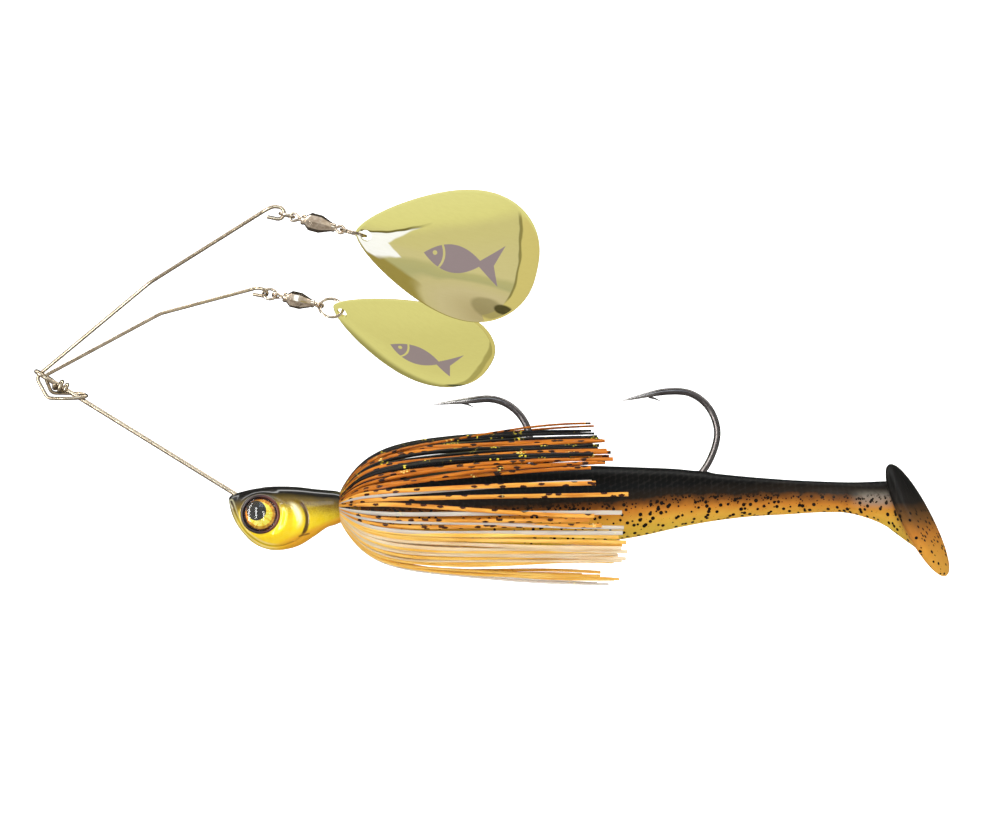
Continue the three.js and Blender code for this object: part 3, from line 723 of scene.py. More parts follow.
def bait_plastic():
    """Soft plastic: black back over brown over clear amber, with black flecks below and fine scales above."""
    material, t = new_material("bait_plastic")
    place = t.attribute("place")
    x, _, z = t.split(place)
    girth, paddle, _ = t.split(t.attribute("girth"))
    drift = t.line(t.noise(t.scaled(place, (0.35, 0.35, 0.35)), 1, 3), 1.6, -0.8)
    edge = t.curve_of(x, [(80, -29.2), (100, -29.0), (120, -28.2), (135, -26.8), (158, -26.2), (172, -26.6)])
    height = t.plus(t.minus(z, edge), drift)
    body = t.ramp(
        t.share(height, -6.0, 3.0),
        [
            (0.0, 206, 170, 60), (0.28, 212, 158, 58), (0.48, 192, 122, 42), (0.62, 120, 72, 28),
            (0.76, 34, 26, 18), (1.0, 9, 9, 8),
        ],
    )
    tail = t.ramp(
        t.share(t.plus(z, drift), -44.0, -24.0),
        [
            (0.0, 216, 164, 70), (0.35, 204, 142, 54), (0.52, 182, 116, 44), (0.68, 106, 72, 36),
            (0.84, 28, 25, 22), (1.0, 15, 14, 13),
        ],
    )
    colour = t.mix(paddle, body, tail)
    haze = t.product(t.near(x, 175.0, 1.0, 5.5), t.near(z, -26.8, 0.3, 2.4), t.minus(1.0, paddle))
    colour = t.mix(t.times(haze, 0.55), colour, srgb(168, 160, 146))
    below = t.mix(paddle, t.between(height, 1.4, -0.2), t.between(z, -27.5, -29.5))
    crowd = t.line(t.noise(place, 0.16, 2), 0.34, 0.13)
    fleck = t.math("GREATER_THAN", crowd, t.cells(place, 0.85))
    crowded = t.times(t.between(height, -2.4, 0.4), t.between(t.noise(place, 0.5, 2), 0.3, 0.6))
    small = t.math("GREATER_THAN", t.line(crowded, 0.38, 0.1), t.cells(place, 1.6))
    fleck = t.math("MAXIMUM", fleck, small)
    colour = t.mix(t.times(fleck, below), colour, srgb(16, 12, 8))
    scale_place = t.join(t.times(x, 0.85), t.times(girth, 0.85), 0.0)
    scales = t.cells(scale_place, 1.0, 0.25)
    ribs = t.math("SINE", t.times(x, 2.6))
    upper = t.between(height, -1.0, 0.6)
    relief = t.mix(upper, t.times(ribs, 0.25), scales)
    scaly = t.product(upper, t.between(scales, 0.42, 0.62), 0.28)
    colour = t.mix(scaly, colour, srgb(46, 43, 39))
    t.finish(
        Base_Color=colour,
        Roughness=0.38,
        Subsurface_Weight=t.line(upper, -0.2, 0.2),
        Subsurface_Radius=(1.0, 0.6, 0.25),
        Subsurface_Scale=0.001,
        Specular_IOR_Level=0.08,
        Normal=t.bump(relief, 0.3, 0.12),
    )
    return material


def eye_rim_paint():
    """The head's paint round the socket, with a dark edge next to the eye."""
    material, t = new_material("eye_rim")
    place = t.attribute("place")
    x, _, z = t.split(place)
    dx, dz = t.minus(x, float(EYE[0])), t.minus(z, float(EYE[2]))
    wander = t.line(t.noise(place, 3.0, 3, 0.6), 0.12, t.from_middle(dx, dz))
    around = t.mix(t.between(z, -33.0, -27.5), srgb(244, 206, 30), srgb(70, 56, 20))
    dark = t.mix(t.between(dx, -1.0, 3.4), srgb(34, 12, 8), srgb(96, 34, 12))
    colour = t.mix(t.between(wander, 4.12, 4.22), dark, around)
    t.finish(Base_Color=colour, Roughness=0.3, Specular_IOR_Level=0.3, Coat_Weight=0.7, Coat_Roughness=0.04)
    return material


def collar_rubber():
    material, t = new_material("collar_rubber")
    grain = t.noise(t.attribute("place"), 4.0, 3)
    colour = t.mix(grain, srgb(24, 23, 22), srgb(48, 45, 42))
    t.finish(Base_Color=colour, Roughness=0.6, Normal=t.bump(grain, 0.2, 0.1))
    return material


WIRE = metal_wire("wire_steel", srgb(216, 201, 176), srgb(166, 149, 124), 0.2)
NICKEL = plated_metal("swivel_nickel", srgb(240, 223, 200), srgb(198, 178, 154), 0.15)
RING_STEEL = plated_metal("ring_steel", srgb(228, 214, 194), srgb(176, 160, 138), 0.17)
BALL_STEEL = plated_metal("ball_steel", srgb(225, 225, 228), srgb(200, 200, 205), 0.12)
UPPER_GOLD = blade_gold("upper_blade_plate", upper_reflection)
LOWER_GOLD = blade_gold("lower_blade_plate", lower_reflection)
HEAD = head_paint()
FOIL = eye_foil()
DOME = clear_dome()
EYE_RIM = eye_rim_paint()
BAIT = bait_plastic()
STRAND_MATERIALS = [
    strand_rubber("strand_black", srgb(20, 18, 16), srgb(9, 8, 8), glitter=srgb(244, 222, 70), bunched=0.57),
    strand_rubber(
        "strand_orange",
        srgb(242, 176, 78),
        srgb(204, 128, 46),
        fleck=srgb(60, 28, 14),
        fleck_size=0.3,
        glitter=srgb(255, 232, 150),
        bunched=0.66,
    ),
    strand_rubber("strand_pale", srgb(254, 208, 110), srgb(240, 178, 74), srgb(150, 110, 60), 0.07),
    strand_rubber("strand_cream", srgb(250, 228, 192), srgb(238, 204, 154), srgb(150, 120, 80), 0.08, 0.15),
    strand_rubber(
        "strand_clear", srgb(236, 230, 218), srgb(214, 206, 196), clear=0.35, glitter=srgb(255, 246, 200)
    ),
    # A darker copy of the orange rubber for the top strands: painted shade, where they lie over the black
    # strands and back.
    strand_rubber(
        "strand_orange_painted_shade",
        srgb(208, 124, 34),
        srgb(160, 84, 18),
        fleck=srgb(40, 18, 9),
        fleck_size=0.31,
        glitter=srgb(255, 226, 120),
        bunched=0.62,
    ),
]
BLACK, ORANGE, PALE, CREAM, CLEAR, SHADED_ORANGE = range(6)

# ---------- main wire ----------
WIRE_UP = vec(-math.cos(WIRE_SLOPE), 0, math.sin(WIRE_SLOPE))
WIRE_SIDE = vec(math.sin(WIRE_SLOPE), 0, math.cos(WIRE_SLOPE))


def along_wire(distance, y=0.0):
    return -distance * WIRE_UP + vec(0, y, 0)


def main_wire():
    half = EYE_HALF_WIDTH
    centre = along_wire(MAIN_WIRE + half)
    reach = 2 * MAIN_WIRE + 0.06
    wrap_start, pitch, wraps = 5.3, 1.25, 2.05
    per_turn = 32
    wrap = []
    for k in range(int(per_turn * wraps) + 1):
        angle = math.pi + k / per_turn * TAU
        beside = along_wire(wrap_start + pitch * k / per_turn, reach * math.cos(angle))
        wrap.append(beside + reach * math.sin(angle) * WIRE_SIDE)
    into_head = [along_wire(51.6), along_wire(8.0)]
    into_eye = curve_through([along_wire(8.0), along_wire(5.0, 0.02), along_wire(3.7, 0.86 * half)], 10)
    around = arc(centre, Y, WIRE_UP, half, -0.35, math.pi + 0.35, 30)
    back = curve_through([around[-1], along_wire(3.5, -1.32), along_wire(4.6, -1.12), wrap[0]], 8)
    path = into_head + into_eye + around + back[1:-1] + wrap
    attach(bar("main_wire_fine", path, MAIN_WIRE, WIRE, 0.16), "lure_frame", "wire_steel", "main_wire")


# ---------- chains of links ----------
def turned_by(about_y, about_x):
    """A turn about X and then one about Y, in degrees, as a matrix."""
    turns = [Matrix.Rotation(math.radians(a), 3, axis) for a, axis in ((about_y, "Y"), (about_x, "X"))]
    return np.array(turns[0] @ turns[1])


class Chain:
    """A chain of links, with +X along it from the middle of the arm's loop, rolled about its own line."""

    def __init__(self, at, slope, roll, pitch, blade_roll):
        self.at = np.array(at, float)
        self.turn = turned_by(slope, roll)
        self.blade_turn = turned_by(pitch, blade_roll)

    def place(self, points):
        return [self.turn @ np.asarray(p) + self.at for p in points]


UPPER = Chain([52.4, -22, 31.4], 14.8, 0, -3.2, 20)
LOWER = Chain([44.7, 22, 17.6], 12.6, 52, 14.3, 0)
RING_X, RING_RADIUS, RING_WIRE = 2.65, 1.43, 0.32
FRONT_EYE_X, FRONT_EYE_RADIUS = 4.09, 0.75
BARREL_X = 5.7
REAR_EYE_X, REAR_EYE_RADIUS = 13.85, 0.72
SPLIT_X, SPLIT_RADIUS = 16.47, 2.6
BLADE_LENGTH, BLADE_HALF_WIDTH = 37.4, 13.8


def arm_loop(chain):
    centre, radius = vec(0.85, 0, 0), 1.2
    loop = [vec(-1.6, 0, 0.1), vec(-0.35, 0, 1.08)]
    loop += arc(centre, X, Z, radius, 0.5 * math.pi, -0.5 * math.pi, 24)
    loop += [vec(-1.1, 0, -1.3)]
    return chain.place(loop)


def arms_wire():
    clasp = [
        vec(1.42, -0.42, -0.64), vec(0.66, -0.7, -1.8), vec(3, -1.25, -5.9), vec(6.4, -1.5, -6),
        vec(9.7, -1.2, -5.85), vec(10.9, -0.55, -5.5), vec(10.9, 0.55, -5.35), vec(9.6, 1.3, -4.9),
        vec(6.5, 1.8, -4.85), vec(3.4, 0.9, -4.8), vec(2.1, 0.38, -1.2),
    ]
    upper, lower = arm_loop(UPPER)[::-1], arm_loop(LOWER)
    path = [*upper, vec(25.6, -9.2, 17.9), *clasp, vec(24.9, 11, 12.3), *lower]
    smooth = bent_path(path, 0.95, 8)
    attach(bar("arms_wire_fine", smooth, ARM_WIRE, WIRE, 0.16), "lure_frame", "wire_steel", "arms_wire")


def eye_path(centre, radius, towards, neck, end):
    """A wire eye whose two legs meet in a neck on one side. towards is +1 or -1 along X."""
    opening = 0.9
    around = arc(vec(centre, 0, 0), towards * X, Z, radius, opening, TAU - opening, 28)
    lead = [vec(end, 0, 0.17), vec(neck, 0, 0.2)]
    tail = [vec(neck, 0, -0.2), vec(end, 0, -0.17)]
    return curve_through([*lead, *around, *tail], 3)


def barrel_rings():
    """A turned barrel with a collar, a swelling with eight pressed flats, and a long tapered tail."""
    profile = [
        (0.0, 0.62), (0.0, 0.92), (0.08, 1.02), (0.55, 1.06), (0.68, 0.98), (0.85, 0.98), (0.95, 1.08),
        (1.75, 1.78), (1.85, 1.82), (2.9, 1.82), (3.95, 1.82), (4.05, 1.78), (6.1, 0.98), (6.2, 0.9),
        (6.85, 0.86), (7.0, 0.74), (7.0, 0.42),
    ]
    flats = 8
    at = np.array([x for x, _ in profile])
    full = step(0.9, 1.4, at) * (1 - step(5.4, 6.6, at))

    def reach(angle, number):
        within = (angle % (TAU / flats)) - math.pi / flats
        flat = math.cos(math.pi / flats) / math.cos(within)
        return 1 + full[number] * (min(flat * 1.004, 1.0) - 1)

    return turned([(BARREL_X + x, r) for x, r in profile], 96, reach)


def split_ring_path():
    """Almost two flat turns of wire, side by side, with a small step where it crosses over."""
    path = []
    turns, count = 1.93, 150
    for k in range(count + 1):
        share = k / count
        angle = 0.6 + share * turns * TAU
        lift = 0.29 * (step(0.44, 0.54, share) - 0.5)
        path.append(vec(SPLIT_X + SPLIT_RADIUS * math.cos(angle), SPLIT_RADIUS * math.sin(angle), lift))
    return path


def blade_half_width(share):
    return BLADE_HALF_WIDTH * math.sin(math.pi * share**1.67) ** 0.4


def blade(name, chain, body, node, gold):
    """A dished teardrop plate with a rounded rim and a hole near its narrow end."""
    length, depth, thickness = BLADE_LENGTH, 4.4, 0.7
    hole_at, hole_radius, rim_width = 2.3, 1.15, 0.026
    centre = 0.56 * length
    steps = 90
    shares = [(1 - math.cos(math.pi * k / steps)) / 2 for k in range(steps + 1)]
    upper = [(s * length, blade_half_width(s) if 0 < k < steps else 0) for k, s in enumerate(shares)]
    outline = upper + [(x, -z) for x, z in upper[1:-1][::-1]]

    def level(share):
        return -depth * (1 - share**2)

    def ring(share, lift):
        return [vec(centre + (x - centre) * share, level(share) + lift, z * share) for x, z in outline]

    inner = [0.04, *np.linspace(0.1, 0.9, 17), 0.94, 0.965]
    rings = [ring(s, 0) for s in inner]
    for a in np.linspace(0, math.pi, 9):
        rings.append(ring(1 - rim_width * (1 - math.sin(a)), thickness * (0.5 - 0.5 * math.cos(a))))
    rings += [ring(s, thickness) for s in inner[::-1]]
    points, faces = skin(rings)
    hole_share = (centre - hole_at) / centre
    shift = vec(-hole_at, -level(hole_share) - thickness / 2, 0)
    plate = make_mesh(name, points + shift, faces, gold)
    round_hole = arc(vec(0, 0, 0), X, Z, hole_radius, 0, TAU, 48)[:-1]
    cutter_rings = [[p + y * Y for p in round_hole] for y in (-9, 9)]
    cut(plate, make_mesh("cutter", *skin(cutter_rings), gold))
    flat = np.array([v.co for v in plate.data.vertices]) / MM
    along = flat[:, 0] + hole_at
    share = np.clip(np.hypot((along - centre) / centre, flat[:, 2] / BLADE_HALF_WIDTH), 0, 1)
    above_dish = flat[:, 1] - shift[1] + depth * (1 - share**2)
    keep_place(plate, np.column_stack([along, above_dish, flat[:, 2]]), "plate")
    swung = [chain.blade_turn @ (p + SPLIT_RADIUS * X) + SPLIT_X * X for p in flat]
    plate.data.vertices.foreach_set("co", (np.array(chain.place(swung)) * MM).ravel())
    plate.data.update()
    attach(plate, body, "blade_plate", node)


def cut(target, cutter):
    """Takes the cutter's shape away from the target and removes the cutter."""
    tool = target.modifiers.new("cut", "BOOLEAN")
    tool.object, tool.operation, tool.solver = cutter, "DIFFERENCE", "EXACT"
    graph = bpy.context.evaluated_depsgraph_get()
    fresh = bpy.data.meshes.new_from_object(target.evaluated_get(graph))
    target.modifiers.clear()
    old = target.data
    target.data = fresh
    bpy.data.meshes.remove(old)
    bpy.data.objects.remove(cutter)
    target.data.set_sharp_from_angle(angle=math.radians(40))


def chain_links(side, chain):
    ring = arc(vec(RING_X, 0, 0), X, Y, RING_RADIUS, 0, TAU, 72)[:-1]
    solid = bar(f"{side}_ring_fine", chain.place(ring), RING_WIRE, RING_STEEL, loop=True)
    attach(solid, f"{side}_ring", "wire_steel", f"{side}_ring")
    front = chain.place(eye_path(FRONT_EYE_X, FRONT_EYE_RADIUS, 1, 5.35, 8.0))
    eye = bar(f"{side}_swivel_front_eye_fine", front, 0.28, NICKEL, 0.08)
    attach(eye, f"{side}_swivel_eye", "swivel_nickel", f"{side}_swivel_front_eye")
    points, faces = skin(barrel_rings())
    barrel = make_mesh(f"{side}_swivel_barrel_fine", np.array(chain.place(points)), faces, NICKEL, 28)
    attach(barrel, f"{side}_swivel_barrel", "swivel_nickel", f"{side}_swivel_barrel")
    rear = chain.place(eye_path(REAR_EYE_X, REAR_EYE_RADIUS, -1, 12.75, 11.2))
    eye = bar(f"{side}_swivel_rear_eye_fine", rear, 0.3, NICKEL, 0.08)
    attach(eye, f"{side}_swivel_barrel", "swivel_nickel", f"{side}_swivel_rear_eye")
    coil = chain.place(split_ring_path())
    axis = chain.turn @ Z
    split = bar(f"{side}_split_ring_fine", coil, 0.29, RING_STEEL, 0.12, up=axis, flat=0.5)
    attach(split, f"{side}_split_ring", "wire_steel", f"{side}_split_ring")
    for number in range(1, 6):
        ball = frame["nodes"][f"{side}_bearing_ball_{number}"]
        ball.data.materials.clear()
        ball.data.materials.append(BALL_STEEL)
    gold = UPPER_GOLD if side == "upper" else LOWER_GOLD
    blade(f"{side}_blade_fine", chain, f"{side}_blade", f"{side}_blade", gold)


# ---------- hooks ----------
def pointed(radius, tip_share):
    def radii(share):
        left = np.clip((1 - share) / tip_share, 0, 1)
        return radius * np.maximum(0.12, left**0.62)

    return radii


def barb(root, tip, up):
    """A sliver of the wire lifted from its inner side."""
    path = curve_through([root, root + 0.5 * (tip - root) + 0.1 * up, tip], 10)
    return path, lambda share: 0.34 * (1 - 0.9 * share)


def hook(name, body, path, wire, tip_share, steel_name, ground, barb_ends):
    """A hook whose last millimetres are ground bright, and its barb."""
    stop = path_length(path) - ground
    steel = hook_metal(steel_name, stop, stop - 5)
    made = bar(f"{name}_fine", path, pointed(wire, tip_share), steel, 0.2, 24)
    attach(made, body, "hook_steel", name)
    root, tip = barb_ends
    line, radii = barb(vec(root[0], 0, root[1]), vec(tip[0], 0, tip[1]), Z)
    attach(bar(f"{name}_barb", line, radii, steel, 0.08, 16), body, "hook_steel")


def main_hook():
    """Its eye is in the head, its shank in the bait, and its bend and point stand up through the skirt."""
    eye, eye_radius = along_wire(54.1), 1.75
    loop = arc(eye, X, Z, eye_radius, -1.72 * math.pi, -0.25 * math.pi, 30)
    bend = [(eye[0] + 4.2, SHANK_Z), (74, SHANK_Z), (92.5, SHANK_Z), (98.4, -27.7), (102, -24.9)]
    bend += [(103.9, -20.7), (104.15, -17), (103.85, -13.4), (102.9, -10.8), (101.2, -8.6)]
    bend += [(98.7, -6.85), (95.7, -6.05), (91.5, -6.35), (83.8, -7.2)]
    path = loop + curve_through([vec(x, 0, z) for x, z in bend], 14)
    barb_ends = (89.6, -6.75), (92.6, -7.95)
    hook("main_hook", "lure_frame", path, HOOK_WIRE, 0.09, "main_hook_nickel", 4, barb_ends)


def stinger_hook():
    """Its eye is round the main hook's bend."""
    x, _, z = STINGER_PIVOT
    eye_radius = 2.45
    loop = arc(STINGER_PIVOT, X, Y, eye_radius, -1.72 * math.pi, -0.18 * math.pi, 30)
    bend = [(x + 4.65, z - 1), (113, -27.4), (122, -27.9), (130.5, -27.5), (136.4, -25), (141.2, -20)]
    bend += [(143.4, -13.2), (141.7, -8), (138, -5), (133, -4.5), (123.4, -6.4)]
    path = loop + curve_through([vec(x, 0, z) for x, z in bend], 14)
    barb_ends = (128.9, -5.55), (131.7, -6.6)
    hook("stinger_hook", "bait_rear", path, STINGER_WIRE, 0.1, "stinger_nickel", 3, barb_ends)


# ---------- head ----------
# Along X, top, bottom, half width.
HEAD_STATIONS = np.array([
    [40.9, -26.75, -27.9, 0.5], [41.25, -26.35, -29.4, 1.15], [41.9, -26.05, -31.2, 1.8],
    [43.4, -25.55, -33.6, 2.7], [46, -24.95, -36.3, 3.5], [49, -24.5, -37.6, 4],
    [52, -24.4, -37.75, 4.2], [55.5, -24.55, -36.9, 3.95], [58.8, -24.95, -34.9, 3.5],
    [61.6, -25.2, -33, 3.25], [63.2, -25.35, -32.5, 3.1], [65.2, -25.9, -31.6, 2.6],
])
FULLNESS = 0.9
LIP = [(41.5, -27.6), (43.0, -31), (44.7, -33.7), (46.7, -35.5), (49, -36.6), (51.8, -36.8), (54.6, -35.9)]
GILL_CENTRE, GILL_RADIUS = (52.3, -31.2), 5.2


def station_at(stations, x):
    """Values of a table of stations at x, along smooth curves."""
    table = np.array(curve_through(list(stations), 12))
    return np.column_stack([np.interp(x, table[:, 0], table[:, k]) for k in range(1, stations.shape[1])])


def to_line(x, z, points):
    """Distance from each place to a line through points."""
    best = np.full(x.shape, 99.0)
    for (ax, az), (bx, bz) in zip(points, points[1:]):
        dx, dz = bx - ax, bz - az
        share = np.clip(((x - ax) * dx + (z - az) * dz) / (dx * dx + dz * dz), 0, 1)
        best = np.minimum(best, np.hypot(x - ax - share * dx, z - az - share * dz))
    return best


def head_relief(x, z):
    """At each place on a side: how far it stands out, how dark its lines are, and how strong its painted
    highlights are.
    """
    lip = to_line(x, z, curve_through([np.array(p, float) for p in LIP], 8))
    out = -0.22 * np.exp(-((lip / 0.28) ** 2)) + 0.1 * np.exp(-(((lip - 0.6) / 0.35) ** 2))
    edge = GILL_RADIUS - np.hypot(x - GILL_CENTRE[0], z - GILL_CENTRE[1])
    rear = step(53.0, 55.2, x) * step(-37.0, -35.6, z) * (1 - step(-28.2, -27.0, z))
    out += 0.34 * step(-0.12, 0.35, edge) * (1 - step(0.4, 3.2, edge)) * rear
    out -= 0.2 * np.exp(-(((edge + 0.2) / 0.22) ** 2)) * rear
    dark = np.exp(-(((edge + 0.12) / 0.42) ** 2)) * rear * (0.25 + 0.75 * step(-35.0, -33.2, z))
    # Painted highlights: a glint inside the gill plate's raised edge and a thin one along the lip ridge.
    bright = 0.9 * np.exp(-(((edge - 1.35) / 0.42) ** 2)) * rear * step(-33.5, -31.0, z)
    bright = np.maximum(bright, 0.6 * np.exp(-(((lip - 0.42) / 0.16) ** 2)) * (1 - step(48.5, 52.5, x)))
    fold = to_line(x, z, [(55.9, -34.7), (57.9, -34.2)])
    out -= 0.12 * np.exp(-((fold / 0.2) ** 2))
    dark = np.maximum(dark, 0.6 * np.exp(-((fold / 0.24) ** 2)))
    dark = np.maximum(dark, 0.45 * np.exp(-((lip / 0.2) ** 2)))
    return out, dark, bright


def head():
    sides = 176
    nose = 40.9 + 1.1 * np.linspace(0, 1, 12) ** 1.6
    x = np.concatenate([nose, np.arange(42.15, 65.3, 0.16)])
    top, bottom, half = station_at(HEAD_STATIONS, x).T
    angle = (np.arange(sides) + 0.5) * TAU / sides
    c, s = np.cos(angle), np.sin(angle)
    round_c, round_s = np.sign(c) * np.abs(c) ** FULLNESS, np.sign(s) * np.abs(s) ** FULLNESS
    px = np.repeat(x[:, None], sides, 1)
    pz = ((top + bottom) / 2)[:, None] + ((top - bottom) / 2)[:, None] * round_c
    py = half[:, None] * round_s
    # The brow rises to the eye's edge, and the socket is flat inside it.
    reach = np.hypot(px - EYE[0], pz - EYE[2])
    size, side = np.abs(py), np.sign(py)
    lift = step(6.1, 3.9, reach) * step(0.2, 1.6, size)
    size = size + lift * np.maximum(0, 3.62 - size)
    size = size - step(5.8, 4.3, reach) * np.maximum(0, size - 3.7)
    out, dark, bright = head_relief(px, pz)
    calm = step(3.7, 4.4, reach)
    slope_y = np.abs(round_s) ** 1.2
    size = size + out * calm * slope_y
    pz = pz + out * calm * 0.35 * np.sign(round_c) * (1 - slope_y)
    size = np.where(reach < 3.55, np.minimum(size, 3.15), size)
    grid = np.stack([px, side * size, pz], axis=2)
    points, faces = skin([list(ring) for ring in grid])
    made = make_mesh("head_casting_fine", points, faces, HEAD, 60)
    # The relief attribute holds the dark lines and the painted highlights.
    extra = np.zeros((len(points), 3))
    extra[: grid.shape[0] * sides, 0] = (dark * calm).ravel()
    extra[: grid.shape[0] * sides, 1] = (bright * calm).ravel()
    keep_place(made, extra, "relief")
    keep_value(made, np.concatenate([np.repeat(top, sides), [top[0], top[-1]]]), "crown")
    attach(made, "lure_frame", "head_paint", "head_casting")


def head_neck():
    """The collar seat behind the head and the ringed keeper that the soft bait is pushed over."""
    profile = [(62, 2.4), (68.2, 2.4), (68.3, 1.9), (70, 1.9), (70.6, 2.9), (71.2, 2.5)]
    profile += [(73.2, 1.7), (74.8, 1.5), (75, 1.2)]
    points, faces = skin([[p + SHANK_Z * Z for p in ring] for ring in turned(profile, 48)])
    made = make_mesh("head_neck", points, faces, HEAD, 30)
    keep_place(made, np.zeros((len(points), 3)), "relief")
    keep_value(made, np.full(len(points), -25.4), "crown")
    attach(made, "lure_frame", "head_paint")


def disc_rings(sign, profile, sides=72):
    """Rings about the eye's axis, of [radius, distance from the middle plane]."""
    angles = TAU * np.arange(sides) / sides
    middle = EYE * vec(1, 0, 1)
    spokes = [math.cos(a) * X + math.sin(a) * Z for a in angles]
    return [[middle + r * spoke + sign * y * Y for spoke in spokes] for r, y in profile]


def eyes():
    wide = EYE_RADIUS
    foil = [(0.4, 3.47), (wide - 0.06, 3.47), (wide, 3.42), (wide, 3.27), (wide - 0.05, 3.22), (0.4, 3.22)]
    dome = [(wide * math.sin(a), 3.78 + math.cos(a)) for a in np.linspace(math.pi / 2, 0.04, 16)]
    lens = [(0.1, 3.53), (wide - 0.03, 3.53), (wide, 3.56), *dome]
    rim = [(3.43, 3.3), (3.43, 3.66), (3.5, 3.84), (3.64, 3.95), (3.86, 3.95)]
    rim += [(4.08, 3.82), (4.26, 3.5), (4.34, 3.0), (4.0, 2.9)]
    for side, sign in (("near", -1), ("far", 1)):
        made = make_mesh(f"{side}_eye_foil_fine", *skin(disc_rings(sign, foil)), FOIL)
        attach(made, "lure_frame", "eye_foil", f"{side}_eye_foil")
        made = make_mesh(f"{side}_eye_lens_fine", *skin(disc_rings(sign, lens)), DOME)
        attach(made, "lure_frame", "eye_lens", f"{side}_eye_lens")
        around = np.array(disc_rings(sign, rim)).swapaxes(0, 1)
        made = make_mesh(f"{side}_eye_rim", *skin([list(r) for r in around], loop=True), EYE_RIM)
        attach(made, "lure_frame", "head_paint")


# ---------- skirt ----------
SKIRT_ROOT_X, SKIRT_THROAT = 64.25, 4.3


def skirt_radius(x):
    """The bell that the strands follow: it swells fast behind the throat, then widens slowly."""
    swell, run, widening = 9.3, 5.5, 0.035
    past = x - SKIRT_START
    return SKIRT_THROAT + swell * (1 - math.exp(min(0.6, -past / run))) + widening * past


# Each strand: degrees from the top where it fans out, degrees at its end, where it ends along X,
# its share of the skirt's full radius there, and its rubber.
STRANDS = {
    "top": [
        (3, 5, 116.5, 1.05, BLACK), (7, 8, 117.5, 1.03, BLACK), (11, 12, 114.5, 1.04, BLACK),
        (15, 17, 118, 1.03, BLACK), (19, 21, 115.5, 1.03, BLACK), (25, 2, 116.8, 1.12, SHADED_ORANGE),
        (23, 24, 119, 1.0, SHADED_ORANGE), (28, 31, 116, 1.02, BLACK), (32, 27, 119.5, 1.0, SHADED_ORANGE),
        (35, 30, 117, 1.02, BLACK), (38, 33, 118, 1.01, BLACK), (41, 36, 119.8, 0.99, SHADED_ORANGE),
    ],
    "upper": [
        (45, 40, 120.6, 1.0, SHADED_ORANGE), (48, 43, 117, 1.02, BLACK), (51, 44, 112, 1.0, BLACK),
        (54, 47, 121, 0.99, SHADED_ORANGE), (57, 45, 113, 0.97, BLACK), (61, 51, 117.5, 1.01, SHADED_ORANGE),
        (65, 50, 119.4, 1.0, SHADED_ORANGE), (69, 55, 116.4, 0.98, SHADED_ORANGE), (72, 69.5, 117.3, 1.02, ORANGE),
        (76, 67.8, 116.5, 0.98, CLEAR), (80, 78.5, 123.9, 1.02, ORANGE),
    ],
    "lower": [
        (86, 95, 117, 1.02, ORANGE), (95, 92.5, 122.6, 0.98, CLEAR), (99, 98, 116, 1.01, ORANGE),
        (103, 104, 123, 0.99, CLEAR), (106, 102, 118.5, 1.03, ORANGE), (110, 108, 122.8, 1.0, CLEAR),
        (114, 112, 122, 1.0, PALE), (118, 117, 123.6, 1.0, PALE), (120, 119.5, 122.8, 0.97, PALE),
        (122, 121, 122.6, 1.02, CREAM), (126, 125, 123.9, 1.0, CREAM), (129, 127, 120.5, 0.97, PALE),
        (131, 129, 121.8, 0.99, CREAM),
    ],
    "belly": [
        (136, 132, 123.6, 1.01, CREAM), (140, 136, 121.2, 0.98, PALE), (145, 134, 122.8, 1.0, CREAM),
        (149, 140, 120, 0.98, PALE), (154, 142, 121, 0.96, PALE), (160, 160, 118.6, 0.99, PALE),
        (164, 165, 122.6, 1.02, PALE), (169, 170, 121.6, 1.01, PALE), (174, 178, 120.6, 1.07, CLEAR),
        (178, 172, 117, 0.99, PALE),
    ],
}


def strand_path(fan, last, stop, share, chance):
    """The middle line of a strand: out from the collar, over the bell, then back to its end.

    fan and last are degrees from the top, and stop is where it ends along X.
    """
    wave = chance.uniform(0, TAU)
    size = chance.uniform(0.12, 0.4)
    lift = chance.uniform(-0.3, 0.3)
    sway = chance.uniform(-1.8, 1.8)
    path = []
    for t in np.linspace(0, 1, 56):
        x = SKIRT_ROOT_X + (stop - SKIRT_ROOT_X) * t**1.5
        out = skirt_radius(x) if x > SKIRT_START else SKIRT_THROAT - 2.3 * (SKIRT_START - x)
        settle = step(0.15, 1.0, t)
        radius = out * (1 + (share - 1) * settle) - 0.42 + lift * step(0.1, 0.5, t)
        radius += size * math.sin(wave + 0.13 * (x - 64)) * step(0.2, 0.6, t)
        turn = fan + (last - fan) * step(0.25, 1.0, t) + sway * math.sin(math.pi * t)
        start_turn = fan + 0.12 * (90 - fan) * (1 - step(0.0, 0.22, t))
        turn = math.radians(turn + start_turn - fan)
        path.append(vec(x, -radius * math.sin(turn), SHANK_Z + radius * math.cos(turn)))
    return path


def strand_rings(path, wide, thick, chance):
    """A flat strand with rounded edges that twists a little, narrow at the collar and square at its end."""
    rings, places = [], []
    twist, along = chance.uniform(-0.5, 0.5), 0
    corner = 10
    for i, p in enumerate(path):
        tangent = unit(path[min(i + 1, len(path) - 1)] - path[max(i - 1, 0)])
        out = unit(vec(0, p[1], p[2] - SHANK_Z))
        out = unit(out - (out @ tangent) * tangent)
        side = np.cross(tangent, out)
        share = i / (len(path) - 1)
        angle = twist * math.sin(math.pi * share) + 0.35 * twist * math.sin(9 * share)
        c, s = math.cos(angle), math.sin(angle)
        out, side = c * out + s * side, c * side - s * out
        grow = 0.5 + 0.5 * step(0.0, 0.3, share)
        if i:
            along += np.linalg.norm(p - path[i - 1])
        ring = []
        for k in range(corner):
            a = (k + 0.5) * TAU / corner
            u = math.copysign(abs(math.cos(a)) ** 0.6, math.cos(a)) * wide / 2 * grow
            v = math.copysign(abs(math.sin(a)) ** 0.6, math.sin(a)) * thick / 2 * grow
            ring.append(p + u * side + v * out)
            places.append((along, u, 0))
        rings.append(ring)
    return rings, places


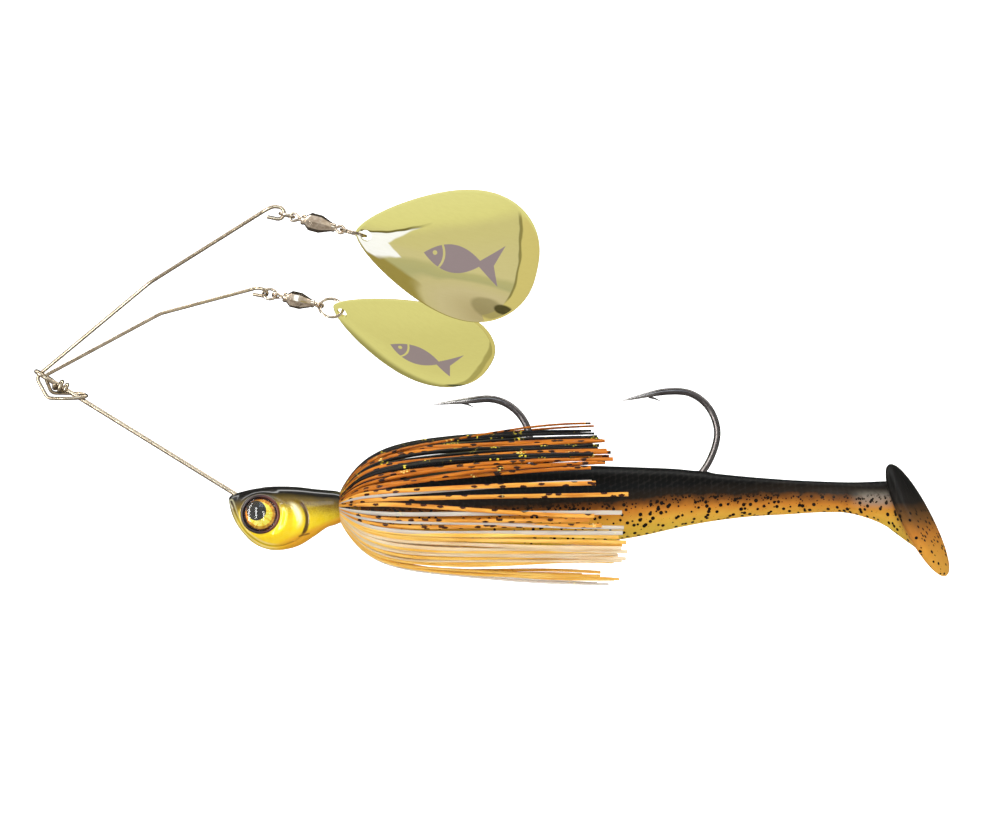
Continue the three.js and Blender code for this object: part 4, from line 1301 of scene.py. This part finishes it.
def skirt():
    chance = random.Random(11)
    number = 0
    for group, strands in STRANDS.items():
        for side, sign in (("near", 1), ("far", -1)):
            points, faces, places, kinds = [], [], [], []
            for fan, last, stop, share, kind in strands:
                number += 1
                if side == "far":
                    fan, last = fan + chance.uniform(-1.5, 1.5), last + chance.uniform(-2, 2)
                    stop += chance.uniform(-2.5, 1.0)
                path = [p * vec(1, sign, 1) for p in strand_path(fan, last, stop, share, chance)]
                wide, thick = chance.uniform(0.78, 0.98), chance.uniform(0.42, 0.52)
                if kind in (CLEAR, CREAM):
                    wide *= 0.92
                rings, marks = strand_rings(path, wide, thick, chance)
                made, quads = skin(rings)
                first = len(points)
                points += list(made)
                faces += [tuple(first + i for i in face) for face in quads]
                marks += [marks[0], marks[-1]]
                places += [(a, b, number) for a, b, _ in marks]
                kinds += [kind] * len(quads)
            name = f"skirt_{group}_{side}"
            tab = make_mesh(f"{name}_strands", points, faces, STRAND_MATERIALS, 45, kinds)
            keep_place(tab, places, "strand")
            middle = math.radians({"top": 22.5, "upper": 67.5, "lower": 112.5, "belly": 157.5}[group])
            hinge = vec(0, -sign * math.sin(middle), math.cos(middle)) * 4 + SHANK_Z * Z
            start, stop = 65.2 * X + hinge, 72 * X + hinge
            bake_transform(tab)
            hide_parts(name)


def skirt_collar():
    """A rubber band with rounded edges and two grooves."""
    profile = [(65.55, 2.62), (65.5, 3.1), (65.6, 3.38), (65.8, 3.42), (65.88, 3.34), (65.96, 3.42)]
    profile += [(66.12, 3.42), (66.2, 3.34), (66.28, 3.42), (66.42, 3.38), (66.5, 3.1), (66.45, 2.62)]
    rings = turned(profile, 72)
    loops = [[ring[i] + SHANK_Z * Z for ring in rings] for i in range(72)]
    made = make_mesh("skirt_collar_fine", *skin(loops, loop=True), collar_rubber())
    attach(made, "lure_frame", "skirt_collar", "skirt_collar")


# ---------- soft bait ----------
# Along the bait's middle line, top, bottom, half width.
BAIT_STATIONS = np.array([
    [68.7, -26.4, -31.2, 2.3], [71.5, -24.6, -33, 3.3], [76, -23.2, -34.5, 4.2], [84, -21.6, -35.9, 5],
    [95, -20.3, -36.8, 5.45], [106, -19.9, -36.9, 5.55], [118, -20.1, -36.2, 5.2],
    [127, -20.4, -34.9, 4.7], [135.6, -20.8, -33, 4.1], [142, -21.6, -31.8, 3.6],
    [150, -22.4, -30.8, 2.95], [158, -23, -30.3, 2.5], [165, -23.3, -29.8, 2.25],
    [170.5, -23.4, -29.8, 2.15], [174.5, -23.3, -30.6, 2.2], [178, -23.1, -31.7, 2.3],
    [181.5, -23, -33.4, 2.2], [184.6, -23.2, -35.4, 1.6],
])
CURL_START, CURL_END, CURL_ANGLE = 152, 178, math.radians(36)
PADDLE_ALONG, PADDLE_Z, PADDLE_LEAN = 186.3, -30.9, math.radians(29)
PADDLE_HALF, PADDLE_HALF_WIDTH, PADDLE_THICKNESS = 12.9, 5.9, 2.6
BAIT_SIDES = 112
HOOK_EXITS = ((103.7, -20), (140.6, -21.4))


def bait_line(distance):
    """Where a distance along the bait's middle line lies in plan, and its heading there."""
    steps = 24
    x, y, heading = min(distance, CURL_START), 0.0, 0.0
    if distance > CURL_START:
        run = (distance - CURL_START) / steps
        for k in range(steps):
            heading = CURL_ANGLE * min(1, run * (k + 0.5) / (CURL_END - CURL_START))
            x += run * math.cos(heading)
            y -= run * math.sin(heading)
    return x, y, heading


def oval(centre, across, long, half_across, half_long, fullness=0.92):
    """A ring, a little fuller than an ellipse, starting at the top."""
    ring = []
    for k in range(BAIT_SIDES):
        a = (k + 0.5) * TAU / BAIT_SIDES
        c, s = math.cos(a), math.sin(a)
        u = math.copysign(abs(c) ** fullness, c) * half_long
        v = math.copysign(abs(s) ** fullness, s) * half_across
        ring.append(centre + u * long + v * across)
    return ring


def bait_ring(distance):
    (top, bottom, half), = station_at(BAIT_STATIONS, np.array([distance]))
    x, y, heading = bait_line(distance)
    across = vec(math.sin(heading), math.cos(heading), 0)
    return oval(vec(x, y, (top + bottom) / 2), across, Z, half, (top - bottom) / 2)


def bait_piece(name, rings, nodes, paddle_from=None):
    """A length of the bait, which takes the place of the CAD pieces it hides.

    paddle_from is the number of the ring where the paddle's colours start to come in.
    """
    points, faces = skin(rings)
    # The skin is drawn up a little round each hook where it comes out of the back.
    for x, z in HOOK_EXITS:
        near = np.exp(-(((points[:, 0] - x) / 1.5) ** 2 + (points[:, 1] / 1.2) ** 2))
        points[:, 2] += 0.3 * near * (points[:, 2] > z - 3)
    made = make_mesh(name, points, faces, BAIT, 60)
    girths = []
    for r, ring in enumerate(rings):
        paddle = float(step(paddle_from, paddle_from + 13, r)) if paddle_from else 0.0
        runs = np.linalg.norm(np.diff(np.array(ring), axis=0), axis=1)
        girths += [(g, paddle, 0) for g in np.concatenate([[0], np.cumsum(runs)])]
    girths += [girths[0], girths[-1]]
    keep_place(made, girths, "girth")
    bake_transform(made)
    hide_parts(*nodes)


def paddle_rings():
    """From the end of the stem, flaring into the oval paddle that stands across the tail and leans back."""
    x, y, heading = bait_line(PADDLE_ALONG)
    back = vec(math.cos(heading), -math.sin(heading), 0)
    across = vec(math.sin(heading), math.cos(heading), 0)
    face = back * math.cos(PADDLE_LEAN) + Z * math.sin(PADDLE_LEAN)
    long = Z * math.cos(PADDLE_LEAN) - back * math.sin(PADDLE_LEAN)
    middle = vec(x, y, PADDLE_Z)
    (top, bottom, half), = station_at(BAIT_STATIONS, np.array([180.0]))
    sx, sy, _ = bait_line(180.0)
    stem = vec(sx, sy, (top + bottom) / 2)
    layer = middle - 0.5 * PADDLE_THICKNESS * face
    rings = []
    tall = (top - bottom) / 2
    for t in np.linspace(0, 1, 14)[1:]:
        lean = PADDLE_LEAN * step(0, 1, t)
        up = Z * math.cos(lean) - back * math.sin(lean)
        wide = half + (0.62 * PADDLE_HALF_WIDTH - half) * t * t
        high = tall + (0.66 * PADDLE_HALF - tall) * t * t
        rings.append(oval(stem + (layer - stem) * t, across, up, wide, high, 0.92 + 0.08 * t))
    layers = [(-0.46, 0.76), (-0.38, 0.86), (-0.27, 0.93), (-0.1, 0.985), (0.06, 1), (0.2, 0.99)]
    layers += [(0.32, 0.96), (0.42, 0.9), (0.48, 0.82), (0.52, 0.68), (0.54, 0.45), (0.55, 0.2)]
    for depth, share in layers:
        centre = middle + depth * PADDLE_THICKNESS * face
        rings.append(oval(centre, across, long, PADDLE_HALF_WIDTH * share, PADDLE_HALF * share, 1.0))
    return rings


def soft_bait():
    """Three lengths of one moulding."""
    front = [bait_ring(d) for d in np.linspace(68.7, 118.0, 100)]
    bait_piece("bait_body", front, ["bait_front"])
    rear = [bait_ring(d) for d in np.linspace(118.0, 167.0, 99)]
    start, stop = (150, 0, -27), (165.5, -2, -27)
    bait_piece("bait_taper", rear, ["bait_rear"])
    end = [bait_ring(d) for d in np.linspace(167.0, 180.0, 27)]
    start, stop = ((*bait_line(d)[:2], -27) for d in (168.5, 181.0))
    stem, paddle = "bait_tail_stem", "bait_paddle"
    rings = end + paddle_rings()
    bait_piece("bait_tail", rings, [stem, paddle], len(end) + 2)


# ---------- studio ----------
def studio_colour(t, direction):
    """What shiny surfaces see: a room, dark behind the lure, with bright strips and two soft patches."""
    turn, rise = t.turn_and_rise(direction)
    colour = t.mix(t.between(rise, 5.0, 45.0), (0.5, 0.5, 0.5, 1), (0.8, 0.8, 0.81, 1))
    colour = t.mix(t.between(rise, 52.0, 60.0), colour, (0.14, 0.14, 0.15, 1))
    colour = t.mix(t.between(rise, -15.0, -50.0), colour, (0.42, 0.4, 0.38, 1))
    behind = t.product(t.between(t.absolute(turn), 95.0, 125.0), t.between(rise, 80.0, 60.0))
    colour = t.mix(behind, colour, (0.07, 0.065, 0.06, 1))
    across, away, up = t.split(direction)
    over = t.times(t.math("ARCTAN2", up, t.times(away, -1.0)), DEGREES)
    strip = t.product(t.near(over, 98.0, 4.0, 7.0), t.between(t.absolute(across), 0.9, 0.8))
    colour = t.mix(strip, colour, (8.0, 8.0, 7.9, 1))
    # Each patch: where it is full and where it ends, as middle, inner and outer, in turn and in rise.
    patches = [
        ((-38.0, 4.0, 6.0), (6.0, 26.0, 30.0), (14.0, 14.0, 14.0, 1)),
        ((-14.0, 1.6, 2.8), (1.0, 12.0, 14.0), (14.0, 14.0, 14.0, 1)),
        ((2.0, 8.0, 12.0), (25.0, 8.0, 12.0), (2.2, 2.7, 3.2, 1)),
        ((58.0, 7.0, 12.0), (0.0, 30.0, 38.0), (0.9, 0.89, 0.85, 1)),
    ]
    for across_patch, up_patch, shade in patches:
        colour = t.mix(t.product(t.near(turn, *across_patch), t.near(rise, *up_patch)), colour, shade)
    return colour


def world():
    made = bpy.data.worlds.new("studio")
    bpy.context.scene.world = made
    t = Tree(made)
    back = t.nodes["Background"]
    where = t.add("ShaderNodeTexCoord", out="Generated")
    shiny = t.add("ShaderNodeLightPath", out="Is Glossy Ray")
    t.set(back, "Color", t.mix(shiny, (0.34, 0.345, 0.35, 1), studio_colour(t, where)))
    t.set(back, "Strength", 1.0)


def backdrop():
    """A pale floor that curves up into a wall. Shiny surfaces see the studio's colours in its place."""
    material, t = new_material("backdrop")
    coming = t.add("ShaderNodeNewGeometry", out="Incoming")
    shiny = t.add("ShaderNodeLightPath", out="Is Glossy Ray")
    colour = studio_colour(t, t.scaled(coming, (-1, -1, -1)))
    tent = t.add("ShaderNodeEmission", {"Color": colour, "Strength": 1.0})
    pale = t.add("ShaderNodeBsdfDiffuse", {"Color": (0.93, 0.93, 0.925, 1)})
    seen = t.add("ShaderNodeLightPath", out="Is Camera Ray")
    lift = t.add("ShaderNodeEmission", {"Color": (1, 1, 1, 1), "Strength": t.times(seen, 0.6)})
    plain = t.add("ShaderNodeAddShader", {0: pale, 1: lift})
    t.surface_of(shiny, plain, tent)
    middle, wide, floor, bend_start, bend = 97, 2600, -118, 500, 400
    profile = [(-1600, floor), (bend_start, floor)]
    for a in np.linspace(0.05, math.pi / 2, 24):
        profile.append((bend_start + bend * math.sin(a), floor + bend * (1 - math.cos(a))))
    profile.append((bend_start + bend, 2200))
    points = [vec(middle + x, y, z) for y, z in profile for x in (-wide, wide)]
    faces = [(2 * i, 2 * i + 1, 2 * i + 3, 2 * i + 2) for i in range(len(profile) - 1)]
    data = bpy.data.meshes.new("backdrop")
    data.from_pydata([tuple(p * MM) for p in points], [], faces)
    data.shade_smooth()
    data.materials.append(material)
    add_object("backdrop", data)


def area_light(name, place, target, size, watts):
    light = bpy.data.lights.new(name, "AREA")
    light.shape, light.size, light.size_y = "RECTANGLE", size[0] * MM, size[1] * MM
    light.energy = watts
    made = add_object(name, light)
    back = -unit(np.array(target, float) - np.array(place, float))
    right = unit(np.cross(Z, back))
    up = np.cross(back, right)
    rows = [[right[k], up[k], back[k], place[k] * MM] for k in range(3)]
    made.matrix_world = Matrix([*rows, [0, 0, 0, 1]])
    made.visible_glossy = False


def lights():
    middle = (97, 0, -10)
    area_light("key", (-150, -420, 480), middle, (420, 320), 3.4)
    area_light("fill", (480, -480, 160), middle, (400, 400), 1.1)
    area_light("top", (97, 60, 520), middle, (600, 300), 1.5)
    area_light("wall", (97, 350, 420), (97, 900, 60), (1200, 300), 3)


def camera():
    data = bpy.data.cameras.new("camera")
    data.sensor_width = 36
    data.lens = 85.71
    data.clip_start, data.clip_end = 0.01, 10
    made = add_object("camera", data)
    made.location = CAMERA_PLACE * MM
    made.rotation_euler = (math.pi / 2, 0, 0)
    bpy.context.scene.camera = made


main_wire()
arms_wire()
chain_links("upper", UPPER)
chain_links("lower", LOWER)
main_hook()
stinger_hook()
head()
head_neck()
eyes()
skirt()
skirt_collar()
soft_bait()
world()
backdrop()
lights()
camera()
bpy.context.scene.view_settings.view_transform = "Standard"

# The soft pieces and hooks aren't mirrored in shiny surfaces.
for piece in bpy.context.scene.objects:
    if piece.name.startswith(("skirt", "bait", "main_hook", "stinger")):
        piece.visible_glossy = False
